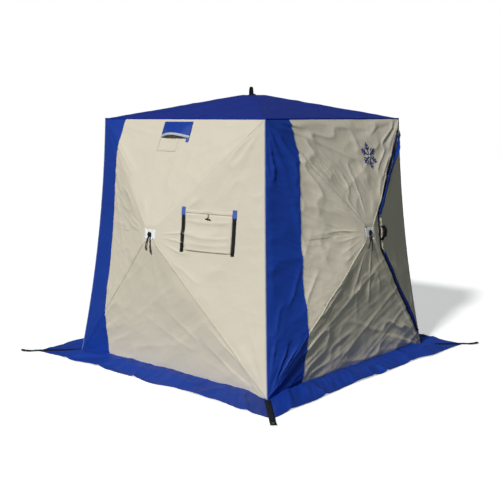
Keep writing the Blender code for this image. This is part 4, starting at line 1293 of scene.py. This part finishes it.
def addStakeStraps():
    thick, ring, length = straps["thick"], straps["eyelet"], straps["foldLength"]
    for k, corner in enumerate(cornerNames):
        node = f"stake_strap_{corner}"
        low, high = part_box(node)
        start = Vector(joints[f"{node}_lift"]["pos_m"]).to_2d().length
        end = max(Vector((x, y)).length for x in (low.x, high.x) for y in (low.y, high.y)) - 0.019
        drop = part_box("skirt")[1].x * math.sqrt(2) + 0.006
        place = Matrix.Rotation(math.radians(90 * k - 45), 4, "Z")
        curl = 0.010 if corner in ("back_right", "front_left") else 0.003
        profile = smoothProfile([(start, 0.0100), (start + 0.03, 0.0066), (start + 0.12, 0.0064), (drop, 0.0064),
                                 (drop + 0.030, 0.0030), (end - 0.05, 0.0032), (end - 0.02, 0.0038 + curl * 0.4),
                                 (end, 0.0040 + curl)], 6)
        runs, heights = zip(*profile)
        strap = strapBand(f"stake_webbing_{corner}", profile, straps["stakeWidth"], place)
        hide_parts(node)
        foldRuns = [end - length + straps["foldStep"] * n for n in range(int(length / straps["foldStep"]))]
        fold = strapBand(f"stake_fold_{corner}", [(x, z + thick) for x, z in
                                                  zip(foldRuns, np.interp(foldRuns, runs, heights))],
                         straps["stakeWidth"] - 0.001, place)
        at = end - straps["eyeletIn"]
        top = float(np.interp(at, runs, heights)) + thick
        inner = ring * 0.62
        rim = [(inner, top - 0.004), (inner, top + 0.0004), (inner + 0.0012, top + 0.0012),
               (ring + 0.002, top + 0.0009), (ring + 0.0032, top)]
        eyelet = turnedMesh(f"stake_eyelet_{corner}", rim, looks["steel"], place @ Matrix.Translation((at, 0, 0)),
                            28, joined=True)
        for piece in (strap, fold, eyelet):
            attach(piece, node)


pull = {"width": 0.009, "level": 0.0198, "hole": 0.0074, "eye": 0.014, "eyeThick": 0.0016,
        "tails": [("short", -0.0055, -13, 0.108, 0.010), ("long", 0.0055, 5, 0.126, 0.004)]}
downWall = Matrix.Rotation(math.radians(-90), 4, "Z")


def strapEye(name, hole, eye, low, high, place):
    # the flat ring of webbing round a hub's bolt
    profile = [(hole, low), (hole, high), (eye, high), (eye, low)]
    return turnedMesh(name, profile, looks["webbing"], place, 28, joined=True)


def addPullStraps():
    # two tails of narrow webbing under each hub's cap
    level = pull["level"]
    for name in wallNames:
        place = panels[name]["place"] @ downWall
        made = []
        for label, aside, turn, length, away in pull["tails"]:
            profile = smoothProfile([(0.000, level + 0.0022), (0.012, level + 0.0024),
                                     (0.03, level + 0.003 + away * 0.4), (length * 0.6, level + 0.003 + away),
                                     (length * 0.85, level + 0.003 + away * 0.6), (length, level + 0.002)], 7)
            here = place @ Matrix.Translation((0, aside, 0)) @ Matrix.Rotation(math.radians(turn), 4, "Z")
            made.append(strapBand(f"pull_tail_{name}_{label}", profile, pull["width"], here, columns=7))
        made.append(strapEye(f"pull_eye_{name}", pull["hole"], pull["eye"], level, level + pull["eyeThick"], place))
        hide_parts(f"pull_strap_{name}")
        for piece in made:
            attach(piece, f"pull_strap_{name}")


carry = {"level": 0.0205, "half": 0.0225, "width": 0.018, "turn": -28, "aside": -0.0245, "eye": 0.019,
         "tabWidth": 0.030}


def addRoofLoop():
    # a carrying loop of webbing that stands up beside the roof's hub
    place, level, half = panels["roof"]["place"], carry["level"], carry["half"]
    path = [(-half - 0.012, 0.001), (-half - 0.004, 0.002), (-half, 0.010), (-half * 0.95, 0.030),
            (-half * 0.55, 0.050), (0.0, 0.0575), (half * 0.60, 0.049), (half * 0.95, 0.028), (half, 0.010),
            (half + 0.004, 0.002), (half + 0.012, 0.001)]
    here = place @ Matrix.Translation((0, carry["aside"], 0)) @ Matrix.Rotation(math.radians(carry["turn"]), 4, "Z")
    loop = strapBand("roof_carry_loop", smoothProfile([(run, level + rise) for run, rise in path], 6),
                     carry["width"], here)
    base = strapEye("roof_strap_eye", pull["hole"], carry["eye"], level - 0.001, level + 0.001, place)
    tab = strapBand("roof_strap_tab", [(0.008, level + 0.001), (0.018, level + 0.0014), (0.030, level + 0.0014)],
                    carry["tabWidth"], place @ downWall)
    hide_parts("pull_strap_roof")
    for piece in (loop, base, tab):
        attach(piece, "pull_strap_roof")


doorTails = {"width": 0.032, "tails": [("front", 0.186, -12, 0.100, 0.034), ("back", 0.200, 16, 0.082, 0.022)]}


def addDoorTails():
    # the door's tie-up webbing, bunched beside the hub
    panel = panels["right"]
    for label, x, turn, length, away in doorTails["tails"]:
        level = float(clothOut(panel, np.array([x]), np.array([0.02]))[0])
        profile = smoothProfile([(0.000, 0.0075), (0.012, 0.014), (0.030, away), (length * 0.62, away * 0.92),
                                 (length * 0.86, away * 0.55), (length, away * 0.42)], 7)
        here = (panel["place"] @ Matrix.Translation((x, 0.028, level))
                @ Matrix.Rotation(math.radians(turn - 90), 4, "Z"))
        attach(strapBand(f"door_tail_{label}", profile, doorTails["width"], here), "door_panel")


addStakeStraps()
addPullStraps()
addRoofLoop()
addDoorTails()
print("straps made")

emblem = {"x": 0.215, "y": 0.505, "radius": 0.092, "arm": 0.0100}   # a printed snowflake on the door wall


def addSnowflake():
    panel = panels["right"]
    middle = Vector((emblem["x"], emblem["y"]))
    strokes = []
    for k in range(6):
        way = Vector((math.cos(math.radians(60 * k + 30)), math.sin(math.radians(60 * k + 30))))
        strokes.append((middle + way * 0.010, middle + way * emblem["radius"]))
        for share, reach in ((0.45, 0.34), (0.70, 0.24)):
            root = middle + way * emblem["radius"] * share
            for side in (-1, 1):
                turned = Matrix.Rotation(math.radians(52 * side), 2) @ way
                strokes.append((root, root + turned * emblem["radius"] * reach))
    for k, (a, b) in enumerate(strokes):
        item = ribbonOnCloth(f"snowflake_stroke_{k + 1}", panel, [tuple(a), tuple(b)], emblem["arm"],
                             [looks["ink"]], lift=0.0012, thick=0.0004, columns=3, step=0.008)
        blendToHub(item)


addSnowflake()
print("snowflake made")

frameLooks = {"rod_": "rod", "hub_": "hub", "knuckle_": "knuckle"}
for node, item in frame["nodes"].items():
    look = next((look for start, look in frameLooks.items() if node.startswith(start)),
                "slider" if "slider" in node else None)
    if look:
        item.data.materials.clear()
        item.data.materials.append(looks[look])
print("frame finished")
